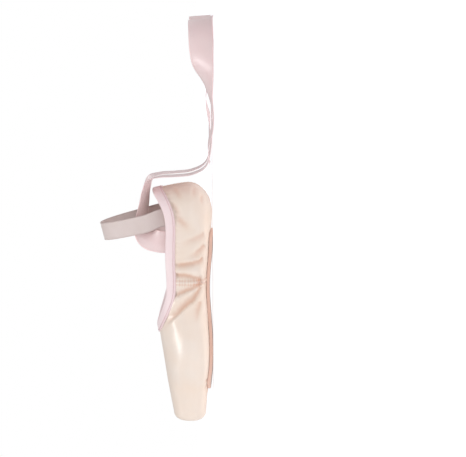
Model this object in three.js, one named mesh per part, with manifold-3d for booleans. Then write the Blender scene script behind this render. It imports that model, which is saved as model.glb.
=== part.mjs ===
// Pointe shoe, in millimetres: X runs from heel to toe, Y to the shoe's left, Z up from the floor.
// The origin lies on the floor under the ball of the foot.
import * as THREE from "three";
import { mergeVertices } from "three/addons/utils/BufferGeometryUtils.js";
import Module from "manifold-3d";

// Driving sizes of the last
const shoeLength = 220;
const ballWidth = 76;
const instepHeight = 51;
const sideHeight = 42;
const heelHeight = 54;
const ballStation = 155;
const toeSpring = 3.9;
const archRise = 3;
const platformEdgeRadius = 5;

// Walls and layers
const boxWall = 3.2;
const quarterWall = 1.6;
const clearance = 0.3;
const outsoleThickness = 2.6;
const groundTrim = 0.3;
const insoleThickness = 2;
const bindingThickness = 0.7;
const bindingWidth = 8;

// Seams
const seamHeight = 0.6;
const seamWidth = 2.6;
const sideSeamStation = 88;

// Outsole plan, measured from the heel
const outsoleToeEnd = 193;
const outsoleHeelEnd = 43;
const outsoleBallWidth = 46;
const outsoleToeRound = 17;
const outsoleHeelRound = 8;
const outsoleToePower = 2.2;
const outsoleHeelPower = 3;
const lastingMargin = 5;

// Insole plan, measured from the heel
const insoleToeEnd = 212;
const insoleHeelEnd = 9;
const insoleToeRound = 9;
const insoleHeelRound = 20;
const insoleToePower = 3;
const insoleHeelPower = 2.2;

// Elastic strap and ribbons
const strapStation = 30;
const strapWidth = 16;
const strapThickness = 0.9;
const strapRise = 60;
const strapSpan = 55;
const strapLean = 14;
const strapRoundness = 0.87;
const stitchedDepth = 13;
const ribbonStation = 52;
const ribbonWidth = 20;
const ribbonThickness = 0.6;
const ribbonLength = 450;

// Fineness of the faceted surfaces
const pointsAround = 28;
const sectionsPerRow = 2;
const edgeSteps = 3;
const collarSteps = 34;
const outlineSteps = 16;
const heelRoundSteps = 5;
const toeRoundSteps = 6;
const strapSteps = 6;
const strapRings = 30;
const ribbonSteps = 60;

// A length that reaches past the whole shoe, and a level that only the sole's layers lie under
const beyond = 200;
const soleLevel = 17;
const measuringReach = 8;
const facetSlack = 0.27;
const liningSlack = 0.75;
const smallTurn = 0.02;
const collarSearch = 6;
const underSide = 2;
const halvings = 40;
const lengthDivisions = 400;

const seatHeight = outsoleThickness + clearance - groundTrim;
const halfBall = ballWidth / 2;

const wasm = await Module();
wasm.setup();

function tableOf(columns, rows) {
  return rows.map((row) => Object.fromEntries(columns.map((name, index) => [name, row[index]])));
}

// A smooth curve through the rows of a table, read at any position between them
function smoothThrough(positions, rows) {
  const size = rows[0].length;
  return new THREE.CubicInterpolant(positions, rows.flat(), size, new Float64Array(size));
}

// Front part of the last in planes across the shoe, from the platform back to the instep.
// along is a share of the length, spring and arch are shares of the toe spring and the arch,
// top is a share of the instep height, width of the half ball width, belly is how high the widest
// point lies, under and over are how square the lower and upper halves are, and stiff is the share
// of the box wall.
const forepart = tableOf(
  ["along", "spring", "arch", "top", "width", "belly", "under", "over", "stiff"],
  [
    [0.977, 1.0, 0, 0.72, 0.605, 0.44, 2.6, 2.5, 1],
    [0.909, 0.76, 0, 0.775, 0.665, 0.42, 2.8, 2.4, 1],
    [0.841, 0.42, 0, 0.826, 0.775, 0.4, 3.1, 2.3, 1],
    [0.773, 0.1, 0, 0.871, 0.91, 0.38, 3.4, 2.2, 1],
    [0.705, 0, 0, 0.916, 0.99, 0.36, 3.4, 2.1, 0.9],
    [0.636, 0, 0.16, 0.963, 0.975, 0.36, 3.2, 2.1, 0.6],
    [0.568, 0, 0.5, 1.005, 0.9, 0.36, 3.0, 2.15, 0.2],
    [0.5, 0, 0.86, 1.02, 0.835, 0.36, 2.9, 2.3, 0],
    [0.436, 0, 1.0, 1.03, 0.795, 0.36, 2.8, 2.4, 0],
  ],
);

// Back part of the last in planes that turn about one line over the instep, from the waist round
// the heel. along is a share of the length, rise a share of the heel height.
const backpart = tableOf(
  ["along", "rise", "width", "belly", "under", "over"],
  [
    [0.364, 0.09, 0.782, 0.35, 2.7, 2.6],
    [0.291, 0.06, 0.768, 0.34, 2.6, 2.8],
    [0.227, 0.046, 0.757, 0.33, 2.6, 2.9],
    [0.164, 0.031, 0.75, 0.33, 2.5, 3.0],
    [0.1, 0.033, 0.747, 0.32, 2.4, 3.0],
    [0.05, 0.1, 0.742, 0.31, 2.3, 3.0],
    [0.0175, 0.225, 0.73, 0.29, 2.25, 3.0],
    [0.0035, 0.37, 0.705, 0.28, 2.2, 3.0],
    [0.006, 0.55, 0.67, 0.275, 2.2, 3.0],
    [0.0145, 0.74, 0.642, 0.275, 2.2, 3.0],
    [0.0245, 0.93, 0.624, 0.275, 2.2, 3.0],
    [0.0345, 1.09, 0.61, 0.275, 2.2, 3.0],
    [0.044, 1.23, 0.6, 0.275, 2.2, 3.0],
  ],
);
const fanStation = shoeLength * 0.414;
const fanHeight = instepHeight * 1.157;
const fanRadius = 6;

// The collar's edge from the side: the throat, the dip along the sides and the rise at the heel
const collarTable = tableOf(
  ["along", "instep", "side", "heel"],
  [
    [0.602, 0.998, 0, 0],
    [0.589, 0.984, 0, 0],
    [0.575, 0.966, 0, 0],
    [0.557, 0.944, 0, 0],
    [0.511, 0.882, 0, 0],
    [0.457, 0.25, 0.69, 0],
    [0.4, 0, 0.98, 0],
    [0.327, 0, 1.0, 0],
    [0.25, 0, 1.0, 0],
    [0.182, 0, 0.985, 0.005],
    [0.118, 0, 0.5, 0.415],
    [0.064, 0, 0.1, 0.825],
    [0.027, 0, 0, 1.0],
    [-0.05, 0, 0, 1.17],
  ],
);

// Half width of the outsole between its two rounded ends, as a share of half its width at the ball
const outsoleTable = tableOf(
  ["along", "width"],
  [
    [0.9, 0.93],
    [0.81, 0.965],
    [0.764, 1.0],
    [0.718, 1.0],
    [0.66, 0.92],
    [0.6, 0.76],
    [0.545, 0.64],
    [0.5, 0.59],
    [0.43, 0.565],
    [0.36, 0.56],
    [0.29, 0.59],
    [0.24, 0.62],
    [0.15, 0.64],
  ],
);

// Half width of the insole between its two rounded ends, as a share of half the ball width
const insoleTable = tableOf(
  ["along", "width"],
  [
    [0.95, 0.4],
    [0.9, 0.47],
    [0.84, 0.565],
    [0.77, 0.66],
    [0.705, 0.72],
    [0.64, 0.7],
    [0.57, 0.635],
    [0.5, 0.57],
    [0.43, 0.54],
    [0.36, 0.525],
    [0.29, 0.525],
    [0.2, 0.535],
    [0.1, 0.54],
  ],
);

// Each ribbon's way out of the collar, back over the heel and down behind it. along is a share of
// the shoe's length, aside of half the ball width, height of the heel height, and the last three
// columns are the direction in which the ribbon's width lies.
const ribbonColumns = ["along", "aside", "height", "acrossX", "acrossY", "acrossZ"];
const ribbonRise = tableOf(ribbonColumns, [
  [0.234, 0.55, 0.915, 1, -0.1, 0.15],
  [0.22, 0.513, 1.065, 0.7, 0.3, 0.6],
  [0.186, 0.426, 1.155, 0.3, 0.7, 0.62],
  [0.136, 0.342, 1.17, 0.08, 0.86, 0.5],
  [0.082, 0.303, 1.135, 0, 0.92, 0.4],
  [0.027, 0.29, 1.1, 0, 0.94, 0.33],
  [-0.016, 0.297, 1.03, 0, 0.97, 0.25],
  [-0.03, 0.316, 0.86, 0, 1, 0.1],
  [-0.034, 0.35, 0.62, 0, 1, 0],
  [-0.043, 0.395, 0.325, 0, 1, 0],
  [-0.073, 0.447, 0.11, 0, 1, 0],
]);

// The two ways in which the ribbons lie on the floor behind the heel. rise is how far a ribbon
// lifts off the floor in millimetres, and tilt how far it turns up on its edge, in degrees.
const trailColumns = ["along", "aside", "rise", "tilt"];
const leftTrail = tableOf(trailColumns, [
  [-0.15, 0.553, 1, 0],
  [-0.318, 0.842, 0, 0],
  [-0.5, 1.316, 2, 8],
  [-0.627, 2.053, 0, 40],
  [-0.664, 2.737, 0, 82],
  [-0.609, 3.263, 0, 90],
  [-0.509, 3.368, 0, 62],
  [-0.4, 3.105, 1, 18],
  [-0.282, 2.684, 0, 0],
  [-0.173, 2.421, 4, 0],
  [-0.073, 2.368, 0, 0],
]);
const rightTrail = tableOf(trailColumns, [
  [-0.15, 0.526, 1, 0],
  [-0.3, 0.684, 0, 0],
  [-0.473, 0.789, 3, 8],
  [-0.618, 1.158, 0, 48],
  [-0.682, 1.789, 0, 85],
  [-0.645, 2.421, 0, 88],
  [-0.545, 2.737, 0, 52],
  [-0.427, 2.684, 1, 8],
  [-0.309, 2.789, 4, 0],
  [-0.209, 3.211, 0, 0],
  [-0.155, 3.842, 1, 0],
]);

function forepartSection(row) {
  const x = shoeLength * row.along;
  return {
    bottomX: x,
    bottomZ: seatHeight + toeSpring * row.spring + archRise * row.arch,
    topX: x,
    topZ: instepHeight * row.top,
    width: halfBall * row.width,
    belly: row.belly,
    under: row.under,
    over: row.over,
    wall: quarterWall + (boxWall - quarterWall) * row.stiff,
  };
}

function backpartSection(row) {
  const bottom = new THREE.Vector2(shoeLength * row.along, heelHeight * row.rise);
  const hub = new THREE.Vector2(fanStation, fanHeight);
  const top = bottom.clone().sub(hub).setLength(fanRadius).add(hub);
  return {
    bottomX: bottom.x,
    bottomZ: bottom.y,
    topX: top.x,
    topZ: top.y,
    width: halfBall * row.width,
    belly: row.belly,
    under: row.under,
    over: row.over,
    wall: quarterWall,
  };
}

const lastRows = [...forepart.map(forepartSection), ...backpart.map(backpartSection)];
const sectionFields = Object.keys(lastRows[0]);
const lastCurve = smoothThrough(
  lastRows.map((row, index) => index),
  lastRows.map((row) => sectionFields.map((field) => row[field])),
);

function sectionAt(position) {
  const values = lastCurve.evaluate(position);
  return Object.fromEntries(sectionFields.map((field, index) => [field, values[index]]));
}

// A point of one section; the angle starts at the shoe's left and turns up over the top
function sectionPoint(section, angle) {
  const rise = Math.sin(angle);
  const side = Math.cos(angle);
  const above = rise >= 0;
  const power = 2 / (above ? section.over : section.under);
  const reach = above ? 1 - section.belly : section.belly;
  const share = section.belly + reach * Math.sign(rise) * Math.abs(rise) ** power;
  return new THREE.Vector3(
    section.bottomX + (section.topX - section.bottomX) * share,
    section.width * Math.sign(side) * Math.abs(side) ** power,
    section.bottomZ + (section.topZ - section.bottomZ) * share,
  );
}

function sectionRing(section) {
  return Array.from({ length: pointsAround }, (unused, index) =>
    sectionPoint(section, (2 * Math.PI * index) / pointsAround),
  );
}

// The platform's rounded edge: sections that draw in as they reach the tip of the shoe
function platformSections() {
  const first = sectionAt(0);
  const reach = shoeLength - first.bottomX;
  return Array.from({ length: edgeSteps }, (unused, index) => {
    const turn = (Math.PI / 2) * (1 - index / edgeSteps);
    const inset = platformEdgeRadius * (1 - Math.cos(turn));
    const x = first.bottomX + reach * Math.sin(turn);
    return {
      ...first,
      bottomX: x,
      topX: x,
      bottomZ: first.bottomZ + inset,
      topZ: first.topZ - inset,
      width: first.width - inset,
    };
  });
}

function lastSections() {
  const count = (lastRows.length - 1) * sectionsPerRow;
  const along = Array.from({ length: count + 1 }, (unused, index) => sectionAt(index / sectionsPerRow));
  return [...platformSections(), ...along];
}

// The two triangles between two corners of one ring and the same corners of the next
function quadFaces(here, hereNext, there, thereNext, swapped) {
  if (swapped) {
    return [here, there, thereNext, here, thereNext, hereNext];
  }
  return [here, there, hereNext, hereNext, there, thereNext];
}

// A closed surface through rings of points, with a flat fan over each end
function loftGeometry(rings, isSwapped = () => false) {
  const around = rings[0].length;
  const sumOf = (ring) => ring.reduce((sum, point) => sum.add(point), new THREE.Vector3());
  const centreOf = (ring) => sumOf(ring).divideScalar(around);
  const points = [...rings.flat(), centreOf(rings[0]), centreOf(rings.at(-1))];
  const firstCentre = rings.length * around;
  const lastRing = (rings.length - 1) * around;
  const faces = [];
  for (let step = 0; step < around; step += 1) {
    const next = (step + 1) % around;
    for (let ring = 0; ring < rings.length - 1; ring += 1) {
      const here = ring * around;
      const there = here + around;
      faces.push(...quadFaces(here + step, here + next, there + step, there + next, isSwapped(step)));
    }
    faces.push(firstCentre, step, next);
    faces.push(firstCentre + 1, lastRing + next, lastRing + step);
  }
  const geometry = new THREE.BufferGeometry().setFromPoints(points);
  geometry.setIndex(faces);
  geometry.computeVertexNormals();
  return geometry;
}

// A closed surface through a loop of rings, the last joined to the first
function loopGeometry(rings) {
  const around = rings[0].length;
  const faces = [];
  for (let ring = 0; ring < rings.length; ring += 1) {
    const here = ring * around;
    const there = ((ring + 1) % rings.length) * around;
    for (let step = 0; step < around; step += 1) {
      const next = (step + 1) % around;
      faces.push(...quadFaces(here + step, here + next, there + step, there + next, false));
    }
  }
  const geometry = new THREE.BufferGeometry().setFromPoints(rings.flat());
  geometry.setIndex(faces);
  geometry.computeVertexNormals();
  return geometry;
}

function solidOf(geometry) {
  const bare = new THREE.BufferGeometry();
  bare.setAttribute("position", geometry.getAttribute("position"));
  bare.setIndex(geometry.getIndex());
  const merged = mergeVertices(bare, 1e-4);
  const mesh = new wasm.Mesh({
    numProp: 3,
    vertProperties: new Float32Array(merged.getAttribute("position").array),
    triVerts: new Uint32Array(merged.getIndex().array),
  });
  return new wasm.Manifold(mesh);
}

function geometryOf(solid) {
  const mesh = solid.getMesh();
  const geometry = new THREE.BufferGeometry();
  geometry.setAttribute("position", new THREE.BufferAttribute(mesh.vertProperties, 3));
  geometry.setIndex(new THREE.BufferAttribute(mesh.triVerts, 1));
  geometry.computeVertexNormals();
  return geometry;
}

// The last's surface moved out by a fixed distance, or in by its wall and a further inset
const sections = lastSections();
const lastSurface = loftGeometry(sections.map(sectionRing));

function movedLast(distanceAt) {
  const geometry = lastSurface.clone();
  const position = geometry.getAttribute("position");
  const normal = geometry.getAttribute("normal");
  const rings = sections.length;
  for (let index = 0; index < position.count; index += 1) {
    const ring = Math.floor(index / pointsAround);
    const endRing = index === position.count - 2 ? 0 : rings - 1;
    const distance = distanceAt(sections[ring < rings ? ring : endRing]);
    position.setXYZ(
      index,
      position.getX(index) + normal.getX(index) * distance,
      position.getY(index) + normal.getY(index) * distance,
      position.getZ(index) + normal.getZ(index) * distance,
    );
  }
  return geometry;
}

const outerForm = (outset) => solidOf(movedLast(() => outset));
const innerForm = (inset) => solidOf(movedLast((section) => -section.wall - inset));

// A flat outline drawn in plan and pulled up
function planPrism(points, low, high) {
  const prism = new THREE.ExtrudeGeometry(new THREE.Shape(points), {
    depth: high - low,
    bevelEnabled: false,
  });
  return solidOf(prism.translate(0, 0, low));
}

function blockBetween(low, high) {
  const size = high.clone().sub(low);
  const block = new THREE.BoxGeometry(size.x, size.y, size.z);
  const middle = low.clone().add(high).divideScalar(2);
  return solidOf(block.translate(middle.x, middle.y, middle.z));
}

// Collar line
const collarRows = [...collarTable].reverse();
const collarCurve = smoothThrough(
  collarRows.map((row) => shoeLength * row.along),
  collarRows.map((row) => [instepHeight * row.instep + sideHeight * row.side + heelHeight * row.heel]),
);
const collarFront = shoeLength * collarTable[0].along;
const collarBack = shoeLength * collarTable.at(-1).along;

function collarHeight(x) {
  return collarCurve.evaluate(THREE.MathUtils.clamp(x, collarBack, collarFront))[0];
}

const mirrored = (vector) => new THREE.Vector3(vector.x, -vector.y, vector.z);

function rootBetween(low, high, valueAt) {
  let from = low;
  let to = high;
  const rising = valueAt(high) > valueAt(low);
  for (let step = 0; step < halvings; step += 1) {
    const middle = (from + to) / 2;
    if (valueAt(middle) > 0 === rising) {
      to = middle;
    } else {
      from = middle;
    }
  }
  return (from + to) / 2;
}

// The outward direction at a point of the last
function outwardAt(position, angle) {
  const along = sectionPoint(sectionAt(position - smallTurn), angle);
  const ahead = sectionPoint(sectionAt(position + smallTurn), angle);
  const under = sectionPoint(sectionAt(position), angle - smallTurn);
  const over = sectionPoint(sectionAt(position), angle + smallTurn);
  return ahead.sub(along).cross(over.sub(under)).normalize();
}

// The collar's edge on the last, down the left side from the throat to the heel and back up the
// right. Each station has its point, the outward direction and the way down from the edge.
function collarStations() {
  const top = Math.PI / 2;
  const heightOver = (position, angle) => {
    const point = sectionPoint(sectionAt(position), angle);
    return point.z - collarHeight(point.x);
  };
  const crossing = (rows, turn) =>
    rootBetween(rows - collarSearch, rows - 1, (position) => heightOver(position, turn));
  const throat = crossing(forepart.length, top);
  const back = crossing(lastRows.length, -top);
  const left = Array.from({ length: collarSteps + 1 }, (unused, index) => {
    const position = throat + ((back - throat) * (1 - Math.cos((Math.PI * index) / collarSteps))) / 2;
    const angle = rootBetween(-top, top, (turn) => heightOver(position, turn));
    return { point: sectionPoint(sectionAt(position), angle), outward: outwardAt(position, angle) };
  });
  const right = left.slice(1, -1).reverse();
  const loop = [
    ...left,
    ...right.map((station) => ({ point: mirrored(station.point), outward: mirrored(station.outward) })),
  ];
  return loop.map((station, index) => {
    const ahead = loop[(index + 1) % loop.length].point.clone().sub(loop.at(index - 1).point);
    return { ...station, down: ahead.cross(station.outward).normalize() };
  });
}

// The surfaces of the uncut wall, to measure from along the outward direction
function surfaceMesh(distanceAt) {
  return new THREE.Mesh(movedLast(distanceAt), new THREE.MeshBasicMaterial({ side: THREE.DoubleSide }));
}

function hitPoint(surface, origin, direction) {
  return new THREE.Raycaster(origin, direction).intersectObject(surface)[0].point;
}

const collarLoop = collarStations();
const outerSurface = surfaceMesh(() => 0);
const innerSurface = surfaceMesh((section) => -section.wall);

function outerPoint(station, depth) {
  const start = station.point.clone().addScaledVector(station.down, depth);
  start.addScaledVector(station.outward, measuringReach);
  return hitPoint(outerSurface, start, station.outward.clone().negate());
}

function innerPoint(station, depth) {
  const start = station.point.clone().addScaledVector(station.down, depth);
  start.addScaledVector(station.outward, -measuringReach);
  return hitPoint(innerSurface, start, station.outward);
}

// Everything over a line that runs at some depth under the collar's edge, cut square to the wall
function overCollar(depth) {
  const edge = collarLoop.map((station) =>
    depth > 0 ? outerPoint(station, depth) : station.point.clone(),
  );
  const moved = (distance) =>
    edge.map((point, index) => point.clone().addScaledVector(collarLoop[index].outward, distance));
  const outside = moved(measuringReach);
  const raised = outside.map((point) => new THREE.Vector3(point.x, point.y, beyond));
  return solidOf(loftGeometry([raised, outside, moved(-measuringReach)]));
}

// The binding wraps the collar's edge, clear of the wall on both sides and over the top
function bindingGeometry() {
  const near = clearance + facetSlack;
  const far = near + bindingThickness;
  const middle = bindingWidth / 2;
  const rings = collarLoop.map((station) => {
    const outside = (depth, gap) => outerPoint(station, depth).addScaledVector(station.outward, gap);
    const inside = (depth, gap) => innerPoint(station, depth).addScaledVector(station.outward, -gap);
    return [
      inside(-far, far),
      inside(middle, far),
      inside(bindingWidth, far),
      inside(bindingWidth, near),
      inside(middle, near),
      inside(-near, near),
      outside(-near, near),
      outside(middle, near),
      outside(bindingWidth, near),
      outside(bindingWidth, far),
      outside(middle, far),
      outside(-far, far),
    ];
  });
  return loopGeometry(rings);
}

// A plan outline from a table of half widths, with superellipse ends, drawn in by a margin
function halfWidthCurve(table, fullShare) {
  const rows = [...table].reverse();
  return smoothThrough(
    rows.map((row) => shoeLength * row.along),
    rows.map((row) => [fullShare * row.width]),
  );
}

function roundedEnd(start, reach, half, power, steps) {
  return Array.from({ length: steps }, (unused, index) => {
    const turn = (Math.PI / 2) * ((index + 1) / steps);
    const x = start + reach * Math.sin(turn) ** (2 / power);
    return new THREE.Vector2(x, half * Math.abs(Math.cos(turn)) ** (2 / power));
  });
}

function planOutline(plan, margin) {
  const toeStart = plan.toeEnd - plan.toeRound;
  const heelStart = plan.heelEnd + plan.heelRound;
  const halfAt = (x) => plan.curve.evaluate(x)[0] - margin;
  const side = Array.from({ length: outlineSteps + 1 }, (unused, index) => {
    const x = heelStart + ((toeStart - heelStart) * index) / outlineSteps;
    return new THREE.Vector2(x, halfAt(x));
  });
  const heelReach = margin - plan.heelRound;
  const toeReach = plan.toeRound - margin;
  const heelEnd = roundedEnd(heelStart, heelReach, halfAt(heelStart), plan.heelPower, heelRoundSteps);
  const toeEnd = roundedEnd(toeStart, toeReach, halfAt(toeStart), plan.toePower, toeRoundSteps);
  const left = [...heelEnd.reverse(), ...side, ...toeEnd];
  const right = left.slice(1, -1).reverse();
  return [...left, ...right.map((point) => new THREE.Vector2(point.x, -point.y))];
}

const outsolePlan = {
  curve: halfWidthCurve(outsoleTable, outsoleBallWidth / 2),
  toeEnd: outsoleToeEnd,
  toeRound: outsoleToeRound,
  toePower: outsoleToePower,
  heelEnd: outsoleHeelEnd,
  heelRound: outsoleHeelRound,
  heelPower: outsoleHeelPower,
};
const insolePlan = {
  curve: halfWidthCurve(insoleTable, halfBall),
  toeEnd: insoleToeEnd,
  toeRound: insoleToeRound,
  toePower: insoleToePower,
  heelEnd: insoleHeelEnd,
  heelRound: insoleHeelRound,
  heelPower: insoleHeelPower,
};

// Everything from one height up to the level under which only sole layers lie
function lowerPart(form, low) {
  const slab = blockBetween(
    new THREE.Vector3(-beyond, -beyond, low),
    new THREE.Vector3(2 * beyond, beyond, soleLevel),
  );
  return form.intersect(slab);
}

function seamRidges() {
  const halfSeam = seamWidth / 2;
  const backSeam = blockBetween(
    new THREE.Vector3(-beyond, -halfSeam, -beyond),
    new THREE.Vector3(outsoleHeelEnd, halfSeam, beyond),
  );
  const sideSeams = blockBetween(
    new THREE.Vector3(sideSeamStation - halfSeam, -beyond, -beyond),
    new THREE.Vector3(sideSeamStation + halfSeam, beyond, beyond),
  );
  return outerForm(seamHeight)
    .intersect(backSeam.add(sideSeams))
    .subtract(overCollar(bindingWidth + clearance))
    .subtract(planPrism(planOutline(outsolePlan, -2 * clearance), -beyond, soleLevel));
}

function upperSolid() {
  return outerForm(0)
    .add(seamRidges())
    .subtract(innerForm(0))
    .subtract(overCollar(0))
    .subtract(planPrism(planOutline(outsolePlan, lastingMargin), -beyond, soleLevel));
}

function outsoleSolid() {
  const layer = outerForm(clearance + outsoleThickness).subtract(outerForm(clearance));
  return lowerPart(layer, 0).intersect(planPrism(planOutline(outsolePlan, 0), -beyond, beyond));
}

// The insole lies on the upper's inside and follows it
function insoleSolid() {
  return innerForm(clearance)
    .subtract(innerForm(clearance + insoleThickness))
    .intersect(planPrism(planOutline(insolePlan, 0), -beyond, soleLevel));
}

// A flat band along stations, each with a centre and the direction in which its width lies. Its
// under side is split along the same diagonals as its upper side, so a twist keeps its thickness.
function bandGeometry(stations, width, thickness) {
  const rings = stations.map((station, index) => {
    const before = stations[Math.max(index - 1, 0)].centre;
    const after = stations[Math.min(index + 1, stations.length - 1)].centre;
    const ahead = after.clone().sub(before).normalize();
    const across = station.across.clone().projectOnPlane(ahead).normalize();
    const up = across.clone().cross(ahead).multiplyScalar(thickness / 2);
    across.multiplyScalar(width / 2);
    const corner = (acrossSign, upSign) =>
      station.centre.clone().addScaledVector(across, acrossSign).addScaledVector(up, upSign);
    return [corner(1, 1), corner(-1, 1), corner(-1, -1), corner(1, -1)];
  });
  return loftGeometry(rings, (step) => step === underSide);
}

// The inside of the wall for a band of some thickness that hangs clear of the binding
function liningFor(thickness) {
  const inset = 2 * clearance + bindingThickness + thickness / 2 + liningSlack;
  return surfaceMesh((section) => -section.wall - inset);
}

function insidePoint(lining, x, z) {
  return hitPoint(lining, new THREE.Vector3(x, 0, z), new THREE.Vector3(0, 1, 0));
}

// The level at which a band that stands against the collar is clear of the binding's top
function rimLevel(x, width) {
  const highest = Math.max(collarHeight(x - width / 2), collarHeight(x + width / 2));
  return highest + bindingThickness + clearance;
}

// A place on a band that lies along the inside of the wall at some level
function wallStation(lining, x, z, width) {
  const front = insidePoint(lining, x + width / 2, z);
  const rear = insidePoint(lining, x - width / 2, z);
  const across = front.clone().sub(rear).normalize();
  return { centre: front.add(rear).divideScalar(2), across };
}

function pathThrough(stations, field) {
  const points = stations.map((station) => station[field]);
  return new THREE.CatmullRomCurve3(points, false, "centripetal");
}

// Evenly spaced stations on the smooth path through the given ones, over a fixed length
function stationsAlong(stations, length, steps) {
  const path = pathThrough(stations, "centre");
  const turn = pathThrough(stations, "across");
  path.arcLengthDivisions = lengthDivisions;
  const reach = path.getLength();
  return Array.from({ length: steps + 1 }, (unused, index) => {
    const distance = (length * index) / steps;
    const share = Math.min(distance / reach, 1);
    const centre = path.getPointAt(share);
    const overrun = Math.max(distance - reach, 0);
    centre.addScaledVector(path.getTangentAt(share), overrun);
    return { centre, across: turn.getPoint(path.getUtoTmapping(share)) };
  });
}

// The elastic loop keeps the round of an ankle over the collar
function strapGeometry() {
  const lining = liningFor(strapThickness);
  const lean = THREE.MathUtils.degToRad(strapLean);
  const base = collarHeight(strapStation);
  const arcAcross = new THREE.Vector3(Math.cos(lean), 0, -Math.sin(lean));
  const low = wallStation(lining, strapStation, base - stitchedDepth, strapWidth);
  const high = wallStation(lining, strapStation, rimLevel(strapStation, strapWidth), strapWidth);
  const arc = Array.from({ length: strapSteps }, (unused, index) => {
    const share = (index + 1) / strapSteps;
    const turn = (Math.PI / 2) * share;
    const height = strapRise * Math.sin(turn) ** strapRoundness;
    const aside = (strapSpan / 2) * Math.abs(Math.cos(turn)) ** strapRoundness;
    const centre = new THREE.Vector3(
      strapStation + height * Math.sin(lean),
      aside,
      base + height * Math.cos(lean),
    );
    return { centre, across: high.across.clone().lerp(arcAcross, Math.min(1, 2 * share)) };
  });
  const left = [low, high, ...arc];
  const right = left.slice(0, -1).reverse();
  const whole = [
    ...left,
    ...right.map((station) => ({ centre: mirrored(station.centre), across: mirrored(station.across) })),
  ];
  const length = pathThrough(whole, "centre").getLength();
  return bandGeometry(stationsAlong(whole, length, strapRings), strapWidth, strapThickness);
}

// The ribbon's place along the floor, turned up on its edge where it bends round
function trailStations(trail, floorGap) {
  const onFloor = trail.map(
    (row) => new THREE.Vector3(shoeLength * row.along, halfBall * row.aside, floorGap + row.rise),
  );
  return trail.map((row, index) => {
    const before = onFloor[Math.max(index - 1, 0)];
    const after = onFloor[Math.min(index + 1, trail.length - 1)];
    const ahead = after.clone().sub(before).setZ(0).normalize();
    const tilt = THREE.MathUtils.degToRad(row.tilt);
    const level = new THREE.Vector3(ahead.y, -ahead.x, 0);
    const across = level.multiplyScalar(Math.cos(tilt)).setZ(Math.sin(tilt));
    const centre = onFloor[index].clone();
    centre.z += (ribbonWidth / 2) * Math.sin(tilt);
    return { centre, across };
  });
}

function ribbonStations(trail) {
  const lining = liningFor(ribbonThickness);
  const floorGap = clearance + ribbonThickness;
  const placeOf = (row) =>
    new THREE.Vector3(shoeLength * row.along, halfBall * row.aside, floorGap + heelHeight * row.height);
  const rising = ribbonRise.map((row) => ({
    centre: placeOf(row),
    across: new THREE.Vector3(row.acrossX, row.acrossY, row.acrossZ).normalize(),
  }));
  const levels = [collarHeight(ribbonStation) - stitchedDepth, rimLevel(ribbonStation, ribbonWidth)];
  const stitched = levels.map((level) => wallStation(lining, ribbonStation, level, ribbonWidth));
  const stations = [...stitched, ...rising, ...trailStations(trail, floorGap)];
  return stationsAlong(stations, ribbonLength, ribbonSteps);
}

function ribbonGeometry(trail, side) {
  const stations = ribbonStations(trail).map((station) =>
    side > 0 ? station : { centre: mirrored(station.centre), across: mirrored(station.across) },
  );
  return bandGeometry(stations, ribbonWidth, ribbonThickness);
}

const finishes = {
  satin: new THREE.MeshStandardMaterial({ color: 0xeadfd6, roughness: 0.38, metalness: 0 }),
  binding: new THREE.MeshStandardMaterial({ color: 0xeddade, roughness: 0.5, metalness: 0 }),
  leather: new THREE.MeshStandardMaterial({ color: 0xa98f80, roughness: 0.85, metalness: 0 }),
  board: new THREE.MeshStandardMaterial({ color: 0xd8cbb8, roughness: 0.8, metalness: 0 }),
  elastic: new THREE.MeshStandardMaterial({ color: 0xe4dcda, roughness: 0.7, metalness: 0 }),
  ribbon: new THREE.MeshStandardMaterial({ color: 0xf0dce1, roughness: 0.45, metalness: 0 }),
};

const shoe = new THREE.Group();
shoe.position.x = -ballStation;

function place(name, geometry, material) {
  const mesh = new THREE.Mesh(geometry, material);
  mesh.name = name;
  shoe.add(mesh);
}

place("upper", geometryOf(upperSolid()), finishes.satin);
place("collar_binding", bindingGeometry(), finishes.binding);
place("outsole", geometryOf(outsoleSolid()), finishes.leather);
place("insole", geometryOf(insoleSolid()), finishes.board);
place("elastic_strap", strapGeometry(), finishes.elastic);
place("ribbon_left", ribbonGeometry(leftTrail, 1), finishes.ribbon);
place("ribbon_right", ribbonGeometry(rightTrail, -1), finishes.ribbon);

export default shoe;
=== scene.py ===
"""The looks of a satin pointe shoe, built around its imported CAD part."""

import logging
import math
from dataclasses import dataclass, field, replace
from enum import Enum

import bmesh
import bpy
import numpy as np
from mathutils import Matrix, Vector
from mathutils.bvhtree import BVHTree


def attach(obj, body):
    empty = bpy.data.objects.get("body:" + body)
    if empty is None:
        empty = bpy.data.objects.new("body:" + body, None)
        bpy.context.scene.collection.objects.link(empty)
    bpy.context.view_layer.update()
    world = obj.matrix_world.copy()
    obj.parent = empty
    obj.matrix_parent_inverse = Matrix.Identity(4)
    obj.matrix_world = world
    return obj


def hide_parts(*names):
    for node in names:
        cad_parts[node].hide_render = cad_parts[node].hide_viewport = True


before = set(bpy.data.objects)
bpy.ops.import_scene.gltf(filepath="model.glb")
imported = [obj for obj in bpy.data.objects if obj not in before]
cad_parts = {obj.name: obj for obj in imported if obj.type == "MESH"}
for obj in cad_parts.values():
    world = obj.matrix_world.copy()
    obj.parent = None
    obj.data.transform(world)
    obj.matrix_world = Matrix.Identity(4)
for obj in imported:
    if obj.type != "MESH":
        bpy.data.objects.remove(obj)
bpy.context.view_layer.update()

log = logging.getLogger("pointe_shoe")

MM = 0.001

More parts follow.
